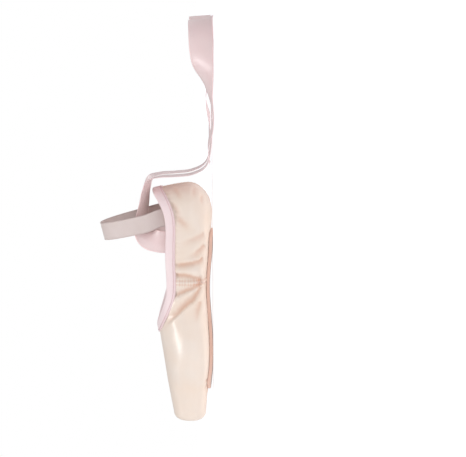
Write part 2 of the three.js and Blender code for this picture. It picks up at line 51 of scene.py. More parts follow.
# Sizes of the last in millimetres from the heel, as the part's source has them
SHOE_LENGTH = 220.0
HALF_BALL = 38.0
INSTEP_HEIGHT = 51.0
SIDE_HEIGHT = 42.0
HEEL_HEIGHT = 54.0
BALL_STATION = 155.0
TOE_SPRING = 3.9
ARCH_RISE = 3.0
EDGE_RADIUS = 5.0
BOX_WALL = 3.2
QUARTER_WALL = 1.6
CLEARANCE = 0.3
SEAT_HEIGHT = 2.6
SIDE_SEAM = 88.0

# Columns of a section of the last
BOTTOM_X, BOTTOM_Z, TOP_X, TOP_Z, WIDTH, BELLY, UNDER, OVER, WALL = range(9)

# along, spring, arch, top, width, belly, under, over, stiff
FOREPART = (
    (0.977, 1.0, 0, 0.72, 0.605, 0.44, 2.6, 2.5, 1),
    (0.909, 0.76, 0, 0.775, 0.665, 0.42, 2.8, 2.4, 1),
    (0.841, 0.42, 0, 0.826, 0.775, 0.4, 3.1, 2.3, 1),
    (0.773, 0.1, 0, 0.871, 0.91, 0.38, 3.4, 2.2, 1),
    (0.705, 0, 0, 0.916, 0.99, 0.36, 3.4, 2.1, 0.9),
    (0.636, 0, 0.16, 0.963, 0.975, 0.36, 3.2, 2.1, 0.6),
    (0.568, 0, 0.5, 1.005, 0.9, 0.36, 3.0, 2.15, 0.2),
    (0.5, 0, 0.86, 1.02, 0.835, 0.36, 2.9, 2.3, 0),
    (0.436, 0, 1.0, 1.03, 0.795, 0.36, 2.8, 2.4, 0),
)

# along, rise, width, belly, under, over
BACKPART = (
    (0.364, 0.09, 0.782, 0.35, 2.7, 2.6),
    (0.291, 0.06, 0.768, 0.34, 2.6, 2.8),
    (0.227, 0.046, 0.757, 0.33, 2.6, 2.9),
    (0.164, 0.031, 0.75, 0.33, 2.5, 3.0),
    (0.1, 0.033, 0.747, 0.32, 2.4, 3.0),
    (0.05, 0.1, 0.742, 0.31, 2.3, 3.0),
    (0.0175, 0.225, 0.73, 0.29, 2.25, 3.0),
    (0.0035, 0.37, 0.705, 0.28, 2.2, 3.0),
    (0.006, 0.55, 0.67, 0.275, 2.2, 3.0),
    (0.0145, 0.74, 0.642, 0.275, 2.2, 3.0),
    (0.0245, 0.93, 0.624, 0.275, 2.2, 3.0),
    (0.0345, 1.09, 0.61, 0.275, 2.2, 3.0),
    (0.044, 1.23, 0.6, 0.275, 2.2, 3.0),
)
FAN_STATION = SHOE_LENGTH * 0.414
FAN_HEIGHT = INSTEP_HEIGHT * 1.157
FAN_RADIUS = 6.0

# along, share of the instep height, of the side height and of the heel height
COLLAR = (
    (-0.05, 0, 0, 1.17),
    (0.027, 0, 0, 1.0),
    (0.064, 0, 0.1, 0.825),
    (0.118, 0, 0.5, 0.415),
    (0.182, 0, 0.985, 0.005),
    (0.25, 0, 1.0, 0),
    (0.327, 0, 1.0, 0),
    (0.4, 0, 0.98, 0),
    (0.457, 0.25, 0.69, 0),
    (0.511, 0.882, 0, 0),
    (0.557, 0.944, 0, 0),
    (0.575, 0.966, 0, 0),
    (0.589, 0.984, 0, 0),
    (0.602, 0.998, 0, 0),
)

# along, share of the outsole's half width
OUTSOLE = (
    (0.15, 0.64),
    (0.24, 0.62),
    (0.29, 0.59),
    (0.36, 0.56),
    (0.43, 0.565),
    (0.5, 0.59),
    (0.545, 0.64),
    (0.6, 0.76),
    (0.66, 0.92),
    (0.718, 1.0),
    (0.764, 1.0),
    (0.81, 0.965),
    (0.9, 0.93),
)

# along, share of half the ball width
INSOLE = (
    (0.1, 0.54),
    (0.2, 0.535),
    (0.29, 0.525),
    (0.36, 0.525),
    (0.43, 0.54),
    (0.5, 0.57),
    (0.57, 0.635),
    (0.64, 0.7),
    (0.705, 0.72),
    (0.77, 0.66),
    (0.84, 0.565),
    (0.9, 0.47),
    (0.95, 0.4),
)

# along, aside, height, and the direction of the ribbon's width
RIBBON_RISE = (
    (0.234, 0.55, 0.915, 1, -0.1, 0.15),
    (0.22, 0.513, 1.065, 0.7, 0.3, 0.6),
    (0.186, 0.426, 1.155, 0.3, 0.7, 0.62),
    (0.136, 0.342, 1.17, 0.08, 0.86, 0.5),
    (0.082, 0.303, 1.135, 0, 0.92, 0.4),
    (0.027, 0.29, 1.1, 0, 0.94, 0.33),
    (-0.016, 0.297, 1.03, 0, 0.97, 0.25),
    (-0.03, 0.316, 0.86, 0, 1, 0.1),
    (-0.034, 0.35, 0.62, 0, 1, 0),
    (-0.043, 0.395, 0.325, 0, 1, 0),
    (-0.073, 0.447, 0.11, 0, 1, 0),
)

# along, aside, rise off the floor in millimetres, tilt on its edge in degrees
LEFT_TRAIL = (
    (-0.15, 0.553, 1, 0),
    (-0.318, 0.842, 0, 0),
    (-0.5, 1.316, 2, 8),
    (-0.627, 2.053, 0, 40),
    (-0.664, 2.737, 0, 82),
    (-0.609, 3.263, 0, 90),
    (-0.509, 3.368, 0, 62),
    (-0.4, 3.105, 1, 18),
    (-0.282, 2.684, 0, 0),
    (-0.173, 2.421, 4, 0),
    (-0.073, 2.368, 0, 0),
)
RIGHT_TRAIL = (
    (-0.15, 0.526, 1, 0),
    (-0.3, 0.684, 0, 0),
    (-0.473, 0.789, 3, 8),
    (-0.618, 1.158, 0, 48),
    (-0.682, 1.789, 0, 85),
    (-0.645, 2.421, 0, 88),
    (-0.545, 2.737, 0, 52),
    (-0.427, 2.684, 1, 8),
    (-0.309, 2.789, 4, 0),
    (-0.209, 3.211, 0, 0),
    (-0.155, 3.842, 1, 0),
)


def smooth_values(positions: np.ndarray, values: np.ndarray, at: np.ndarray) -> np.ndarray:
    """Reads a table as the part's source does, on a smooth curve through its rows.

    Args:
        positions: The rows' positions, rising.
        values: One row of values for each position.
        at: Where to read, clamped to the table's ends.

    Returns:
        One row of values for each place.
    """
    place = np.pad(positions, 1)
    place[0] = 2 * positions[0] - positions[1]
    place[-1] = 2 * positions[-1] - positions[-2]
    value = np.vstack([2 * values[0] - values[1], values, 2 * values[-1] - values[-2]])
    at = np.clip(at, positions[0], positions[-1])
    row = np.clip(np.searchsorted(positions, at, side="right"), 1, len(positions) - 1)
    start, end = place[row], place[row + 1]
    span = end - start
    share = (at - start) / span
    before = 0.5 * span / (start - place[row - 1])
    after = 0.5 * span / (place[row + 2] - end)
    square, cube = share**2, share**3
    weights = (
        -before * cube + 2 * before * square - before * share,
        (1 + before) * cube + (-1.5 - 2 * before) * square + (-0.5 + before) * share + 1,
        (-1 - after) * cube + (1.5 + after) * square + 0.5 * share,
        after * cube - after * square,
    )
    return sum(weight[:, None] * value[row - 1 + step] for step, weight in enumerate(weights))


def unit(vectors: np.ndarray) -> np.ndarray:
    """Scales vectors along the last axis to a length of one."""
    return vectors / np.maximum(np.linalg.norm(vectors, axis=-1, keepdims=True), 1e-12)


def soft_step(low: float, high: float, value: np.ndarray) -> np.ndarray:
    """Rises smoothly from 0 at low to 1 at high."""
    share = np.clip((value - low) / (high - low), 0, 1)
    return share * share * (3 - 2 * share)


def wander(points: np.ndarray, size: float, seed: int) -> np.ndarray:
    """A slow, seeded variation through space.

    Args:
        points: Points in millimetres.
        size: Rough distance between a high and a low, in millimetres.
        seed: Chooses the pattern.

    Returns:
        A value near -1 to 1 for each point.
    """
    chance = np.random.default_rng(seed)
    total = np.zeros(len(points))
    waves = 9
    for _ in range(waves):
        direction = unit(chance.normal(size=3)) * chance.uniform(0.6, 1.5) * math.pi / size
        total += np.sin(points @ direction + chance.uniform(0, 2 * math.pi))
    return total / math.sqrt(waves)


def in_frame(points: np.ndarray) -> np.ndarray:
    """Turns millimetres from the heel into metres in the frame."""
    return (points - np.array([BALL_STATION, 0.0, 0.0])) * MM


class Last:
    """The form of the shoe's outside, as smooth sections from the toe round the heel."""

    def __init__(self) -> None:
        """Builds the sections from the tables."""
        rows = []
        for along, spring, arch, top, width, belly, under, over, stiff in FOREPART:
            x = SHOE_LENGTH * along
            low = SEAT_HEIGHT + TOE_SPRING * spring + ARCH_RISE * arch
            wall = QUARTER_WALL + (BOX_WALL - QUARTER_WALL) * stiff
            rows.append((x, low, x, INSTEP_HEIGHT * top, HALF_BALL * width, belly, under, over, wall))
        hub = np.array([FAN_STATION, FAN_HEIGHT])
        for along, rise, width, belly, under, over in BACKPART:
            bottom = np.array([SHOE_LENGTH * along, HEEL_HEIGHT * rise])
            top = hub + unit(bottom - hub) * FAN_RADIUS
            rows.append((*bottom, *top, HALF_BALL * width, belly, under, over, QUARTER_WALL))
        self.rows = np.array(rows, dtype=float)
        self.index = np.arange(len(rows), dtype=float)
        collar = np.array(COLLAR, dtype=float)
        self.collar_x = SHOE_LENGTH * collar[:, 0]
        self.collar_z = collar[:, 1:] @ np.array([INSTEP_HEIGHT, SIDE_HEIGHT, HEEL_HEIGHT])
        self.throat = self._crossing(len(FOREPART) - 6, len(FOREPART) - 1, math.pi / 2)
        self.back = self._crossing(len(rows) - 6, len(rows) - 1, -math.pi / 2)

    def sections(self, position: np.ndarray) -> np.ndarray:
        """Sections at positions; below 0 they draw in over the platform's rounded edge."""
        values = smooth_values(self.index, self.rows, np.maximum(position, 0))
        turn = np.clip(-position, 0, 1) * math.pi / 2
        inset = EDGE_RADIUS * (1 - np.cos(turn))
        reach = (SHOE_LENGTH - self.rows[0, BOTTOM_X]) * np.sin(turn)
        values[:, BOTTOM_X] += reach
        values[:, TOP_X] += reach
        values[:, BOTTOM_Z] += inset
        values[:, TOP_Z] -= inset
        values[:, WIDTH] -= inset
        return values

    def points(self, position: np.ndarray, angle: np.ndarray) -> np.ndarray:
        """Points of the surface.

        Args:
            position: Row positions, from -2 at the platform's middle to the heel's top.
            angle: Angles from the shoe's left, rising over the top.

        Returns:
            One point for each pair, in millimetres.
        """
        section = self.sections(position)
        rise, side = np.sin(angle), np.cos(angle)
        above = rise >= 0
        power = 2 / np.where(above, section[:, OVER], section[:, UNDER])
        reach = np.where(above, 1 - section[:, BELLY], section[:, BELLY])
        share = section[:, BELLY] + reach * np.sign(rise) * np.abs(rise) ** power
        x = section[:, BOTTOM_X] + (section[:, TOP_X] - section[:, BOTTOM_X]) * share
        y = section[:, WIDTH] * np.sign(side) * np.abs(side) ** power
        z = section[:, BOTTOM_Z] + (section[:, TOP_Z] - section[:, BOTTOM_Z]) * share
        keep = 1 - np.clip(-position - 1, 0, 1)
        middle = (section[:, BOTTOM_Z] + section[:, TOP_Z]) / 2
        return np.column_stack([x, y * keep, middle + (z - middle) * keep])

    def collar_height(self, x: np.ndarray) -> np.ndarray:
        """Height of the collar's edge over the floor at distances from the heel."""
        return smooth_values(self.collar_x, self.collar_z[:, None], np.atleast_1d(x))[:, 0]

    def over_collar(self, position: np.ndarray, angle: np.ndarray) -> np.ndarray:
        """How far points lie over the collar's edge."""
        point = self.points(position, angle)
        return point[:, 2] - self.collar_height(point[:, 0])

    def _crossing(self, low: float, high: float, angle: float) -> float:
        """The position where the collar crosses the middle line at an angle."""
        turn = np.array([angle])
        rising = self.over_collar(np.array([high]), turn)[0] > self.over_collar(np.array([low]), turn)[0]
        for _ in range(40):
            middle = (low + high) / 2
            if (self.over_collar(np.array([middle]), turn)[0] > 0) == rising:
                high = middle
            else:
                low = middle
        return (low + high) / 2

    def collar_angle(self, position: np.ndarray) -> np.ndarray:
        """The angle of the collar's left edge, or the top where the row is closed."""
        low = np.full(len(position), -math.pi / 2)
        high = np.full(len(position), math.pi / 2)
        for _ in range(40):
            middle = (low + high) / 2
            over = self.over_collar(position, middle) > 0
            high = np.where(over, middle, high)
            low = np.where(over, low, middle)
        return np.where(position <= self.throat, math.pi / 2, (low + high) / 2)

    def even_row(self, position: float, start: float, columns: int) -> np.ndarray:
        """Evenly spaced points of one row, from an angle on the left, under the shoe, to the right.

        Args:
            position: The row.
            start: The first angle; the last mirrors it.
            columns: How many points.

        Returns:
            The points in order.
        """
        steps = np.linspace(0, 1, 90)
        eased = steps * steps * (3 - 2 * steps)
        end = -math.pi - start
        between = [turn for turn in (0.0, -math.pi / 2, -math.pi) if end + 1e-6 < turn < start - 1e-6]
        corners = [start, *between, end]
        pieces = [low + (high - low) * eased for low, high in zip(corners[:-1], corners[1:])]
        angles = np.concatenate([piece[:-1] for piece in pieces] + [pieces[-1][-1:]])
        points = self.points(np.full(len(angles), position), angles)
        steps_along = np.linalg.norm(np.diff(points, axis=0), axis=1)
        travel = np.concatenate([[0], np.cumsum(steps_along)])
        places = np.linspace(0, travel[-1], columns)
        return np.column_stack([np.interp(places, travel, points[:, axis]) for axis in range(3)])

    def even_positions(self, rows: int, end: float) -> np.ndarray:
        """Row positions about evenly spaced along the sole and the side, with more at the throat."""
        dense = np.linspace(-2.0, end, 1600)
        steps = np.zeros(len(dense) - 1)
        for turn in (-math.pi / 2, -math.pi / 5, 0.0):
            line = self.points(dense, np.full(len(dense), turn))
            steps = np.maximum(steps, np.linalg.norm(np.diff(line, axis=0), axis=1))
        travel = np.concatenate([[0], np.cumsum(steps)])
        even = np.interp(np.linspace(0, travel[-1], rows), travel, dense)
        near = self.throat + np.array([0.0, 0.012, 0.04, 0.085, 0.14])
        return np.unique(np.concatenate([even, near]))


def grid_normals(points: np.ndarray) -> np.ndarray:
    """Outward unit normals of a grid of points whose rows run towards the heel."""
    along = np.gradient(points, axis=0)
    across = np.gradient(points, axis=1)
    return unit(np.cross(across, along))


def skin(
    last: Last, positions: np.ndarray, starts: np.ndarray, columns: int
) -> tuple[np.ndarray, np.ndarray]:
    """The last's surface as an even grid of points, with its outward normals.

    Args:
        last: The shoe's form.
        positions: The grid's rows, from the platform's middle to the heel.
        starts: The first angle of each row.
        columns: Points in a row.

    Returns:
        Points and unit normals.
    """
    grid = np.array([last.even_row(place, turn, columns) for place, turn in zip(positions, starts)])
    normals = grid_normals(grid)
    closed = starts > math.pi / 2 - 1e-9
    seam = unit(normals[closed, 0] + normals[closed, -1])
    normals[closed, 0] = normals[closed, -1] = seam
    normals[0] = unit(normals[2].mean(axis=0))
    return grid, normals


def grid_faces(rows: int, columns: int, flip: bool = False) -> np.ndarray:
    """Quads of a grid of points that are numbered row by row."""
    corner = (np.arange(rows - 1)[:, None] * columns + np.arange(columns - 1)[None, :]).ravel()
    quads = np.column_stack([corner, corner + columns, corner + columns + 1, corner + 1])
    return quads[:, ::-1] if flip else quads


def loop_faces(rows: int, columns: int) -> np.ndarray:
    """Quads of a grid of points whose rows are loops."""
    row = np.arange(rows - 1)[:, None] * columns
    column = np.arange(columns)[None, :]
    next_row = row + columns
    next_column = (column + 1) % columns
    corners = [row + column, next_row + column, next_row + next_column, row + next_column]
    return np.column_stack([corner.ravel() for corner in corners])


def make_piece(
    name: str,
    points: np.ndarray,
    faces: np.ndarray,
    masks: dict[str, np.ndarray] | None = None,
    uv: np.ndarray | None = None,
    merge: float = 0.0,
) -> bpy.types.Object:
    """Makes one smooth-shaded piece in the scene.

    Args:
        name: The piece's name.
        points: Points in millimetres from the heel.
        faces: Corner numbers of its faces.
        masks: Named values for its points.
        uv: Surface coordinates in metres for its points.
        merge: Distance in millimetres under which points are joined.

    Returns:
        The new object.
    """
    mesh = bpy.data.meshes.new(name)
    mesh.from_pydata(in_frame(points).tolist(), [], faces.tolist())
    for mask_name, values in (masks or {}).items():
        attribute = mesh.attributes.new(mask_name, "FLOAT", "POINT")
        attribute.data.foreach_set("value", np.asarray(values, dtype=np.float32))
    if uv is not None:
        layer = mesh.uv_layers.new(name="UVMap")
        corners = np.empty(len(mesh.loops), dtype=np.int32)
        mesh.loops.foreach_get("vertex_index", corners)
        layer.data.foreach_set("uv", uv[corners].astype(np.float32).ravel())
    if merge > 0:
        working = bmesh.new()
        working.from_mesh(mesh)
        bmesh.ops.remove_doubles(working, verts=working.verts, dist=merge * MM)
        working.to_mesh(mesh)
        working.free()
    mesh.polygons.foreach_set("use_smooth", np.ones(len(mesh.polygons), dtype=bool))
    mesh.update()
    piece = bpy.data.objects.new(name, mesh)
    bpy.context.scene.collection.objects.link(piece)
    return piece


def settle(piece: bpy.types.Object, slot: str, material: bpy.types.Material, *nodes: str) -> None:
    """Dresses a piece and ties it to the frame.

    Args:
        piece: The piece.
        slot: The record's material slot; not used.
        material: Its finish.
        nodes: CAD nodes that it stands for.
    """
    piece.data.materials.clear()
    piece.data.materials.append(material)
    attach(piece, "root")
    if nodes:
        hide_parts(*nodes)
    triangles = sum(len(face.vertices) - 2 for face in piece.data.polygons)
    log.info("%s: %d triangles", piece.name, triangles)


def path_through(points: np.ndarray, places: np.ndarray) -> np.ndarray:
    """Reads a centripetal curve through points, as the part's source does.

    Args:
        points: The points that it passes.
        places: Where to read, in steps from one point to the next.

    Returns:
        One point for each place.
    """
    padded = np.vstack([2 * points[0] - points[1], points, 2 * points[-1] - points[-2]])
    row = np.clip(np.floor(places).astype(int), 0, len(points) - 2)
    share = (places - row)[:, None]
    first, start, end, last = (padded[row + step] for step in range(4))
    pairs = ((first, start), (start, end), (end, last))
    gaps = [np.linalg.norm(after - before, axis=1, keepdims=True) ** 0.5 for before, after in pairs]
    lead, middle, tail = (np.maximum(gap, 1e-4) for gap in gaps)
    leaving = (start - first) / lead - (end - first) / (lead + middle) + (end - start) / middle
    arriving = (end - start) / middle - (last - start) / (middle + tail) + (last - end) / tail
    leaving, arriving = leaving * middle, arriving * middle
    square, cube = share**2, share**3
    return (
        start
        + leaving * share
        + (-3 * start + 3 * end - 2 * leaving - arriving) * square
        + (2 * start - 2 * end + leaving + arriving) * cube
    )


@dataclass(frozen=True)
class Fold:
    """A soft trough or ridge that lies on the shoe along a few points.

    Attributes:
        through: Points (x, y, z) in millimetres near the surface.
        height: Height of the ridge, or depth of the trough where it is below 0.
        width: Half width over which it fades.
        fade: Shares of its length over which it grows at its start and dies at its end.
        slant: How much wider it spreads on the side towards the heel, from -1 to 1.
        lip: Share of its height that swells the other way beside it.
    """

    through: tuple[tuple[float, float, float], ...]
    height: float
    width: float
    fade: tuple[float, float] = (0.25, 0.35)
    slant: float = 0.0
    lip: float = 0.3


@dataclass(frozen=True)
class Dent:
    """A soft round hollow or swelling: its middle, height and radius in millimetres."""

    middle: tuple[float, float, float]
    height: float
    radius: float


def fold_relief(points: np.ndarray, folds: list[Fold]) -> tuple[np.ndarray, np.ndarray]:
    """Heights of folds over a surface.

    Args:
        points: The surface's points.
        folds: The folds that lie on it.

    Returns:
        The height for each point, and a mask of painted shade, stronger the deeper in a trough it lies.
    """
    height = np.zeros(len(points))
    crease = np.zeros(len(points))
    for fold in folds:
        through = np.array(fold.through, dtype=float)
        places = np.linspace(0, len(through) - 1, 10 * len(through))
        line = path_through(through, places)
        nearest = np.array([np.argmin(np.sum((points - spot) ** 2, axis=1)) for spot in line])
        line = points[nearest]
        reach = 5 * fold.width
        low, high = line.min(axis=0) - reach, line.max(axis=0) + reach
        near = np.flatnonzero(np.all((points > low) & (points < high), axis=1))
        if not len(near):
            continue
        spots = points[near]
        best = np.full(len(near), np.inf)
        share = np.zeros(len(near))
        behind = np.zeros(len(near), dtype=bool)
        for step in range(len(line) - 1):
            start, run = line[step], line[step + 1] - line[step]
            length = float(run @ run)
            if length < 1e-9:
                continue
            place = np.clip((spots - start) @ run / length, 0, 1)
            gap = np.sum((spots - start - place[:, None] * run) ** 2, axis=1)
            closer = gap < best
            best = np.where(closer, gap, best)
            share = np.where(closer, (step + place) / (len(line) - 1), share)
            turn = (spots[:, 0] - start[0]) * run[2] - (spots[:, 2] - start[2]) * run[0]
            behind = np.where(closer, turn < 0, behind)
        distance = np.sqrt(best) / (fold.width * np.where(behind, 1 + fold.slant, 1 - fold.slant))
        grow = soft_step(0, fold.fade[0], share) if fold.fade[0] > 0 else 1.0
        die = 1 - soft_step(1 - fold.fade[1], 1, share) if fold.fade[1] > 0 else 1.0
        core = np.exp(-(distance**2))
        beside = np.exp(-(((distance - 2.1) / 1.0) ** 2))
        height[near] += fold.height * (core - fold.lip * beside) * grow * die
        # Troughs lay painted shade into the mask.
        if fold.height < 0:
            crease[near] += min(1.0, -fold.height) * np.exp(-((distance / 0.9) ** 2)) * grow * die
    return height, np.clip(crease, 0, 1)


def dent_relief(points: np.ndarray, dents: list[Dent]) -> np.ndarray:
    """Heights of round dents over a surface."""
    height = np.zeros(len(points))
    for dent in dents:
        distance = np.linalg.norm(points - np.array(dent.middle), axis=1) / dent.radius
        height += dent.height * np.exp(-(distance**2))
    return height


class Wiring:
    """Places and joins the nodes of one node tree."""

    def __init__(self, tree: bpy.types.NodeTree) -> None:
        """Keeps the tree."""
        self.tree = tree

    def node(self, kind: str, inputs: dict[str, object] | None = None, **settings: object) -> bpy.types.Node:
        """Adds a node.

        Args:
            kind: The node's type.
            inputs: Values or sockets for its inputs, by name or number.
            settings: Its own properties.

        Returns:
            The node.
        """
        made = self.tree.nodes.new(kind)
        for name, value in settings.items():
            setattr(made, name, value)
        for name, value in (inputs or {}).items():
            socket = made.inputs[name]
            if isinstance(value, bpy.types.NodeSocket):
                self.tree.links.new(value, socket)
            else:
                socket.default_value = value
        return made

    def math(self, operation: str, *values: object) -> bpy.types.NodeSocket:
        """Adds a math node and gives its output."""
        return self.node("ShaderNodeMath", dict(enumerate(values)), operation=operation).outputs[0]

    def mix(self, factor: object, first: object, second: object, blend: str = "MIX") -> bpy.types.NodeSocket:
        """Mixes two colours and gives the output."""
        made = self.node("ShaderNodeMix", data_type="RGBA", blend_type=blend)
        for number, value in ((0, factor), (6, first), (7, second)):
            if isinstance(value, bpy.types.NodeSocket):
                self.tree.links.new(value, made.inputs[number])
            else:
                made.inputs[number].default_value = value
        return made.outputs[2]

    def noise(self, vector: object, scale: object, detail: float) -> bpy.types.NodeSocket:
        """Adds a noise texture and gives its value."""
        inputs = {"Vector": vector, "Scale": scale, "Detail": detail}
        return self.node("ShaderNodeTexNoise", inputs).outputs[0]

    def spread(
        self, value: object, low: float, high: float, to_low: float, to_high: float
    ) -> bpy.types.NodeSocket:
        """Maps a value from one range to another, clamped."""
        numbers = {0: value, 1: low, 2: high, 3: to_low, 4: to_high}
        return self.node("ShaderNodeMapRange", numbers).outputs[0]


def colour(red: int, green: int, blue: int) -> tuple[float, float, float, float]:
    """A colour from its screen values of 0 to 255."""
    parts = [part / 255 for part in (red, green, blue)]
    linear = [part / 12.92 if part <= 0.04045 else ((part + 0.055) / 1.055) ** 2.4 for part in parts]
    return (linear[0], linear[1], linear[2], 1.0)


def new_group(
    name: str, inputs: dict[str, str], outputs: dict[str, str]
) -> tuple[bpy.types.NodeTree, Wiring]:
    """Starts a shader node group.

    Args:
        name: Its name.
        inputs: Socket types by input name.
        outputs: Socket types by output name.

    Returns:
        The group and its wiring.
    """
    tree = bpy.data.node_groups.new(name, "ShaderNodeTree")
    for socket, kind in inputs.items():
        tree.interface.new_socket(socket, in_out="INPUT", socket_type=kind)
    for socket, kind in outputs.items():
        tree.interface.new_socket(socket, in_out="OUTPUT", socket_type=kind)
    return tree, Wiring(tree)


class Effects:
    """The shader node groups that several finishes share."""

    def __init__(self) -> None:
        """Builds the groups once."""
        self.weave = self._weave()
        self.mottle = self._mottle()
        self.tinted = self._tinted()

    def _weave(self) -> bpy.types.NodeTree:
        """Threads that pass over and under: a height, and a shade between the threads."""
        numbers = {"Vector": "NodeSocketVector"}
        numbers |= dict.fromkeys(("Threads U", "Threads V", "Unevenness"), "NodeSocketFloat")
        tree, wire = new_group("threads", numbers, {"Height": "NodeSocketFloat", "Gap": "NodeSocketFloat"})
        given = wire.node("NodeGroupInput").outputs
        split = wire.node("ShaderNodeSeparateXYZ", {0: given["Vector"]}).outputs
        waver = wire.math("MULTIPLY", wire.noise(given["Vector"], 300.0, 2.0), given["Unevenness"])
        across = wire.math("ADD", wire.math("MULTIPLY", split[0], given["Threads U"]), waver)
        along = wire.math("ADD", wire.math("MULTIPLY", split[1], given["Threads V"]), waver)
        warp = wire.math("SINE", wire.math("MULTIPLY", across, 2 * math.pi))
        weft = wire.math("SINE", wire.math("MULTIPLY", along, 2 * math.pi))
        both = wire.math("MULTIPLY", warp, weft)
        height = wire.math("ADD", wire.math("MULTIPLY", both, 0.5), 0.5)
        gap = wire.math("MULTIPLY", wire.math("ABSOLUTE", warp), wire.math("ABSOLUTE", weft))
        put = wire.node("NodeGroupOutput").inputs
        tree.links.new(height, put["Height"])
        tree.links.new(gap, put["Gap"])
        return tree

    def _mottle(self) -> bpy.types.NodeTree:
        """Soft clouds of two sizes, from 0 to 1."""
        numbers = {"Vector": "NodeSocketVector", "Broad": "NodeSocketFloat", "Fine": "NodeSocketFloat"}
        tree, wire = new_group("mottle", numbers, {"Broad": "NodeSocketFloat", "Fine": "NodeSocketFloat"})
        given = wire.node("NodeGroupInput").outputs
        put = wire.node("NodeGroupOutput").inputs
        for name, detail in (("Broad", 2.0), ("Fine", 5.0)):
            cloud = wire.noise(given["Vector"], given[name], detail)
            tree.links.new(wire.spread(cloud, 0.3, 0.7, 0.0, 1.0), put[name])
        return tree

    def _tinted(self) -> bpy.types.NodeTree:
        """A colour that varies a little at random and turns to its deep colour along a mask: painted shade in
        folds and between threads, or a darker seam, hem or groove.
        """
        kinds = {"Colour": "NodeSocketColor", "Second": "NodeSocketColor", "Deep": "NodeSocketColor"}
        kinds |= {"Variation": "NodeSocketFloat", "Crease": "NodeSocketFloat"}
        tree, wire = new_group("tinted", kinds, {"Colour": "NodeSocketColor"})
        given = wire.node("NodeGroupInput").outputs
        varied = wire.mix(given["Variation"], given["Colour"], given["Second"])
        deep = wire.mix(given["Crease"], varied, given["Deep"])
        tree.links.new(deep, wire.node("NodeGroupOutput").inputs["Colour"])
        return tree


def new_material(name: str) -> tuple[bpy.types.Material, Wiring, bpy.types.Node]:
    """Starts a material.

    Args:
        name: Its name.

    Returns:
        The material, its wiring and its Principled BSDF.
    """
    material = bpy.data.materials.new(name)
    material.use_nodes = True
    shader = material.node_tree.nodes["Principled BSDF"]
    return material, Wiring(material.node_tree), shader


@dataclass(frozen=True)
class Cloth:
    """A woven finish.

    Attributes:
        name: The material's name.
        base: Its colour.
        second: The colour that it varies towards.
        deep: Its painted shade colour, laid in creases and between threads, and also the tone of darker seams
            and hems.
        threads: Threads for each metre along both directions.
        depth: Height of the threads in metres.
        roughness: Lowest and highest roughness.
        sheen: Weight of the soft sheen.
        variation: How much of the second colour shows.
        gap: How much painted shade darkens the gaps between threads.
        broad: Size of the soft clouds, in noise scale.
        dimple: Height of the soft unevenness in metres.
        opacity: Share of light that it stops.
        shine: Strength of its reflections.
        streak: How far its threads draw the reflections out.
        crease: The mask that lays its deep colour, as painted shade in creases or as the tone of darker seams
            and hems, where it has them.
    """

    name: str
    base: tuple[float, float, float, float]
    second: tuple[float, float, float, float]
    deep: tuple[float, float, float, float]
    threads: tuple[float, float]
    depth: float
    roughness: tuple[float, float]
    sheen: float = 0.2
    variation: float = 0.6
    gap: float = 0.15
    broad: float = 60.0
    dimple: float = 0.0
    opacity: float = 1.0
    shine: float = 0.5
    streak: float = 0.0
    crease: str = ""

    def build(self, effects: Effects) -> bpy.types.Material:
        """Makes the material from the shared effects."""
        material, wire, shader = new_material(self.name)
        place = wire.node("ShaderNodeTexCoord").outputs
        weave = wire.node("ShaderNodeGroup", node_tree=effects.weave)
        weave.inputs["Threads U"].default_value = self.threads[0]
        weave.inputs["Threads V"].default_value = self.threads[1]
        weave.inputs["Unevenness"].default_value = 0.25
        wire.tree.links.new(place["UV"], weave.inputs["Vector"])
        mottle = wire.node("ShaderNodeGroup", node_tree=effects.mottle)
        mottle.inputs["Broad"].default_value = self.broad
        mottle.inputs["Fine"].default_value = self.broad * 9
        wire.tree.links.new(place["Object"], mottle.inputs["Vector"])
        tinted = wire.node("ShaderNodeGroup", node_tree=effects.tinted)
        tinted.inputs["Colour"].default_value = self.base
        tinted.inputs["Second"].default_value = self.second
        tinted.inputs["Deep"].default_value = self.deep
        varied = wire.math("MULTIPLY", mottle.outputs["Broad"], self.variation)
        wire.tree.links.new(varied, tinted.inputs["Variation"])
        # Painted shade between the threads, and along the crease mask, pulls the colour towards the deep
        # colour.
        between = wire.math("MULTIPLY", wire.math("SUBTRACT", 1.0, weave.outputs["Gap"]), self.gap)
        if self.crease:
            folded = wire.node("ShaderNodeAttribute", attribute_name=self.crease).outputs["Fac"]
            between = wire.math("MINIMUM", wire.math("ADD", between, folded), 1.0)
        wire.tree.links.new(between, tinted.inputs["Crease"])
        wire.tree.links.new(tinted.outputs[0], shader.inputs["Base Color"])
        rough = wire.spread(mottle.outputs["Fine"], 0, 1, self.roughness[0], self.roughness[1])
        wire.tree.links.new(rough, shader.inputs["Roughness"])
        bump = wire.node("ShaderNodeBump", {"Height": weave.outputs["Height"]})
        bump.inputs["Strength"].default_value = 0.6
        bump.inputs["Distance"].default_value = self.depth
        if self.dimple > 0:
            soft = wire.node("ShaderNodeBump", {"Height": mottle.outputs["Broad"]})
            soft.inputs["Strength"].default_value = 1.0
            soft.inputs["Distance"].default_value = self.dimple
            wire.tree.links.new(soft.outputs[0], bump.inputs["Normal"])
        wire.tree.links.new(bump.outputs[0], shader.inputs["Normal"])
        shader.inputs["Sheen Weight"].default_value = self.sheen
        shader.inputs["Sheen Roughness"].default_value = 0.4
        shader.inputs["Specular IOR Level"].default_value = self.shine
        shader.inputs["Anisotropic"].default_value = self.streak
        if self.opacity < 1:
            cover = wire.spread(weave.outputs["Gap"], 0, 1, self.opacity - 0.06, self.opacity + 0.06)
            hem = wire.node("ShaderNodeAttribute", attribute_name="hem").outputs["Fac"]
            wire.tree.links.new(wire.math("MAXIMUM", cover, hem), shader.inputs["Alpha"])
        return material


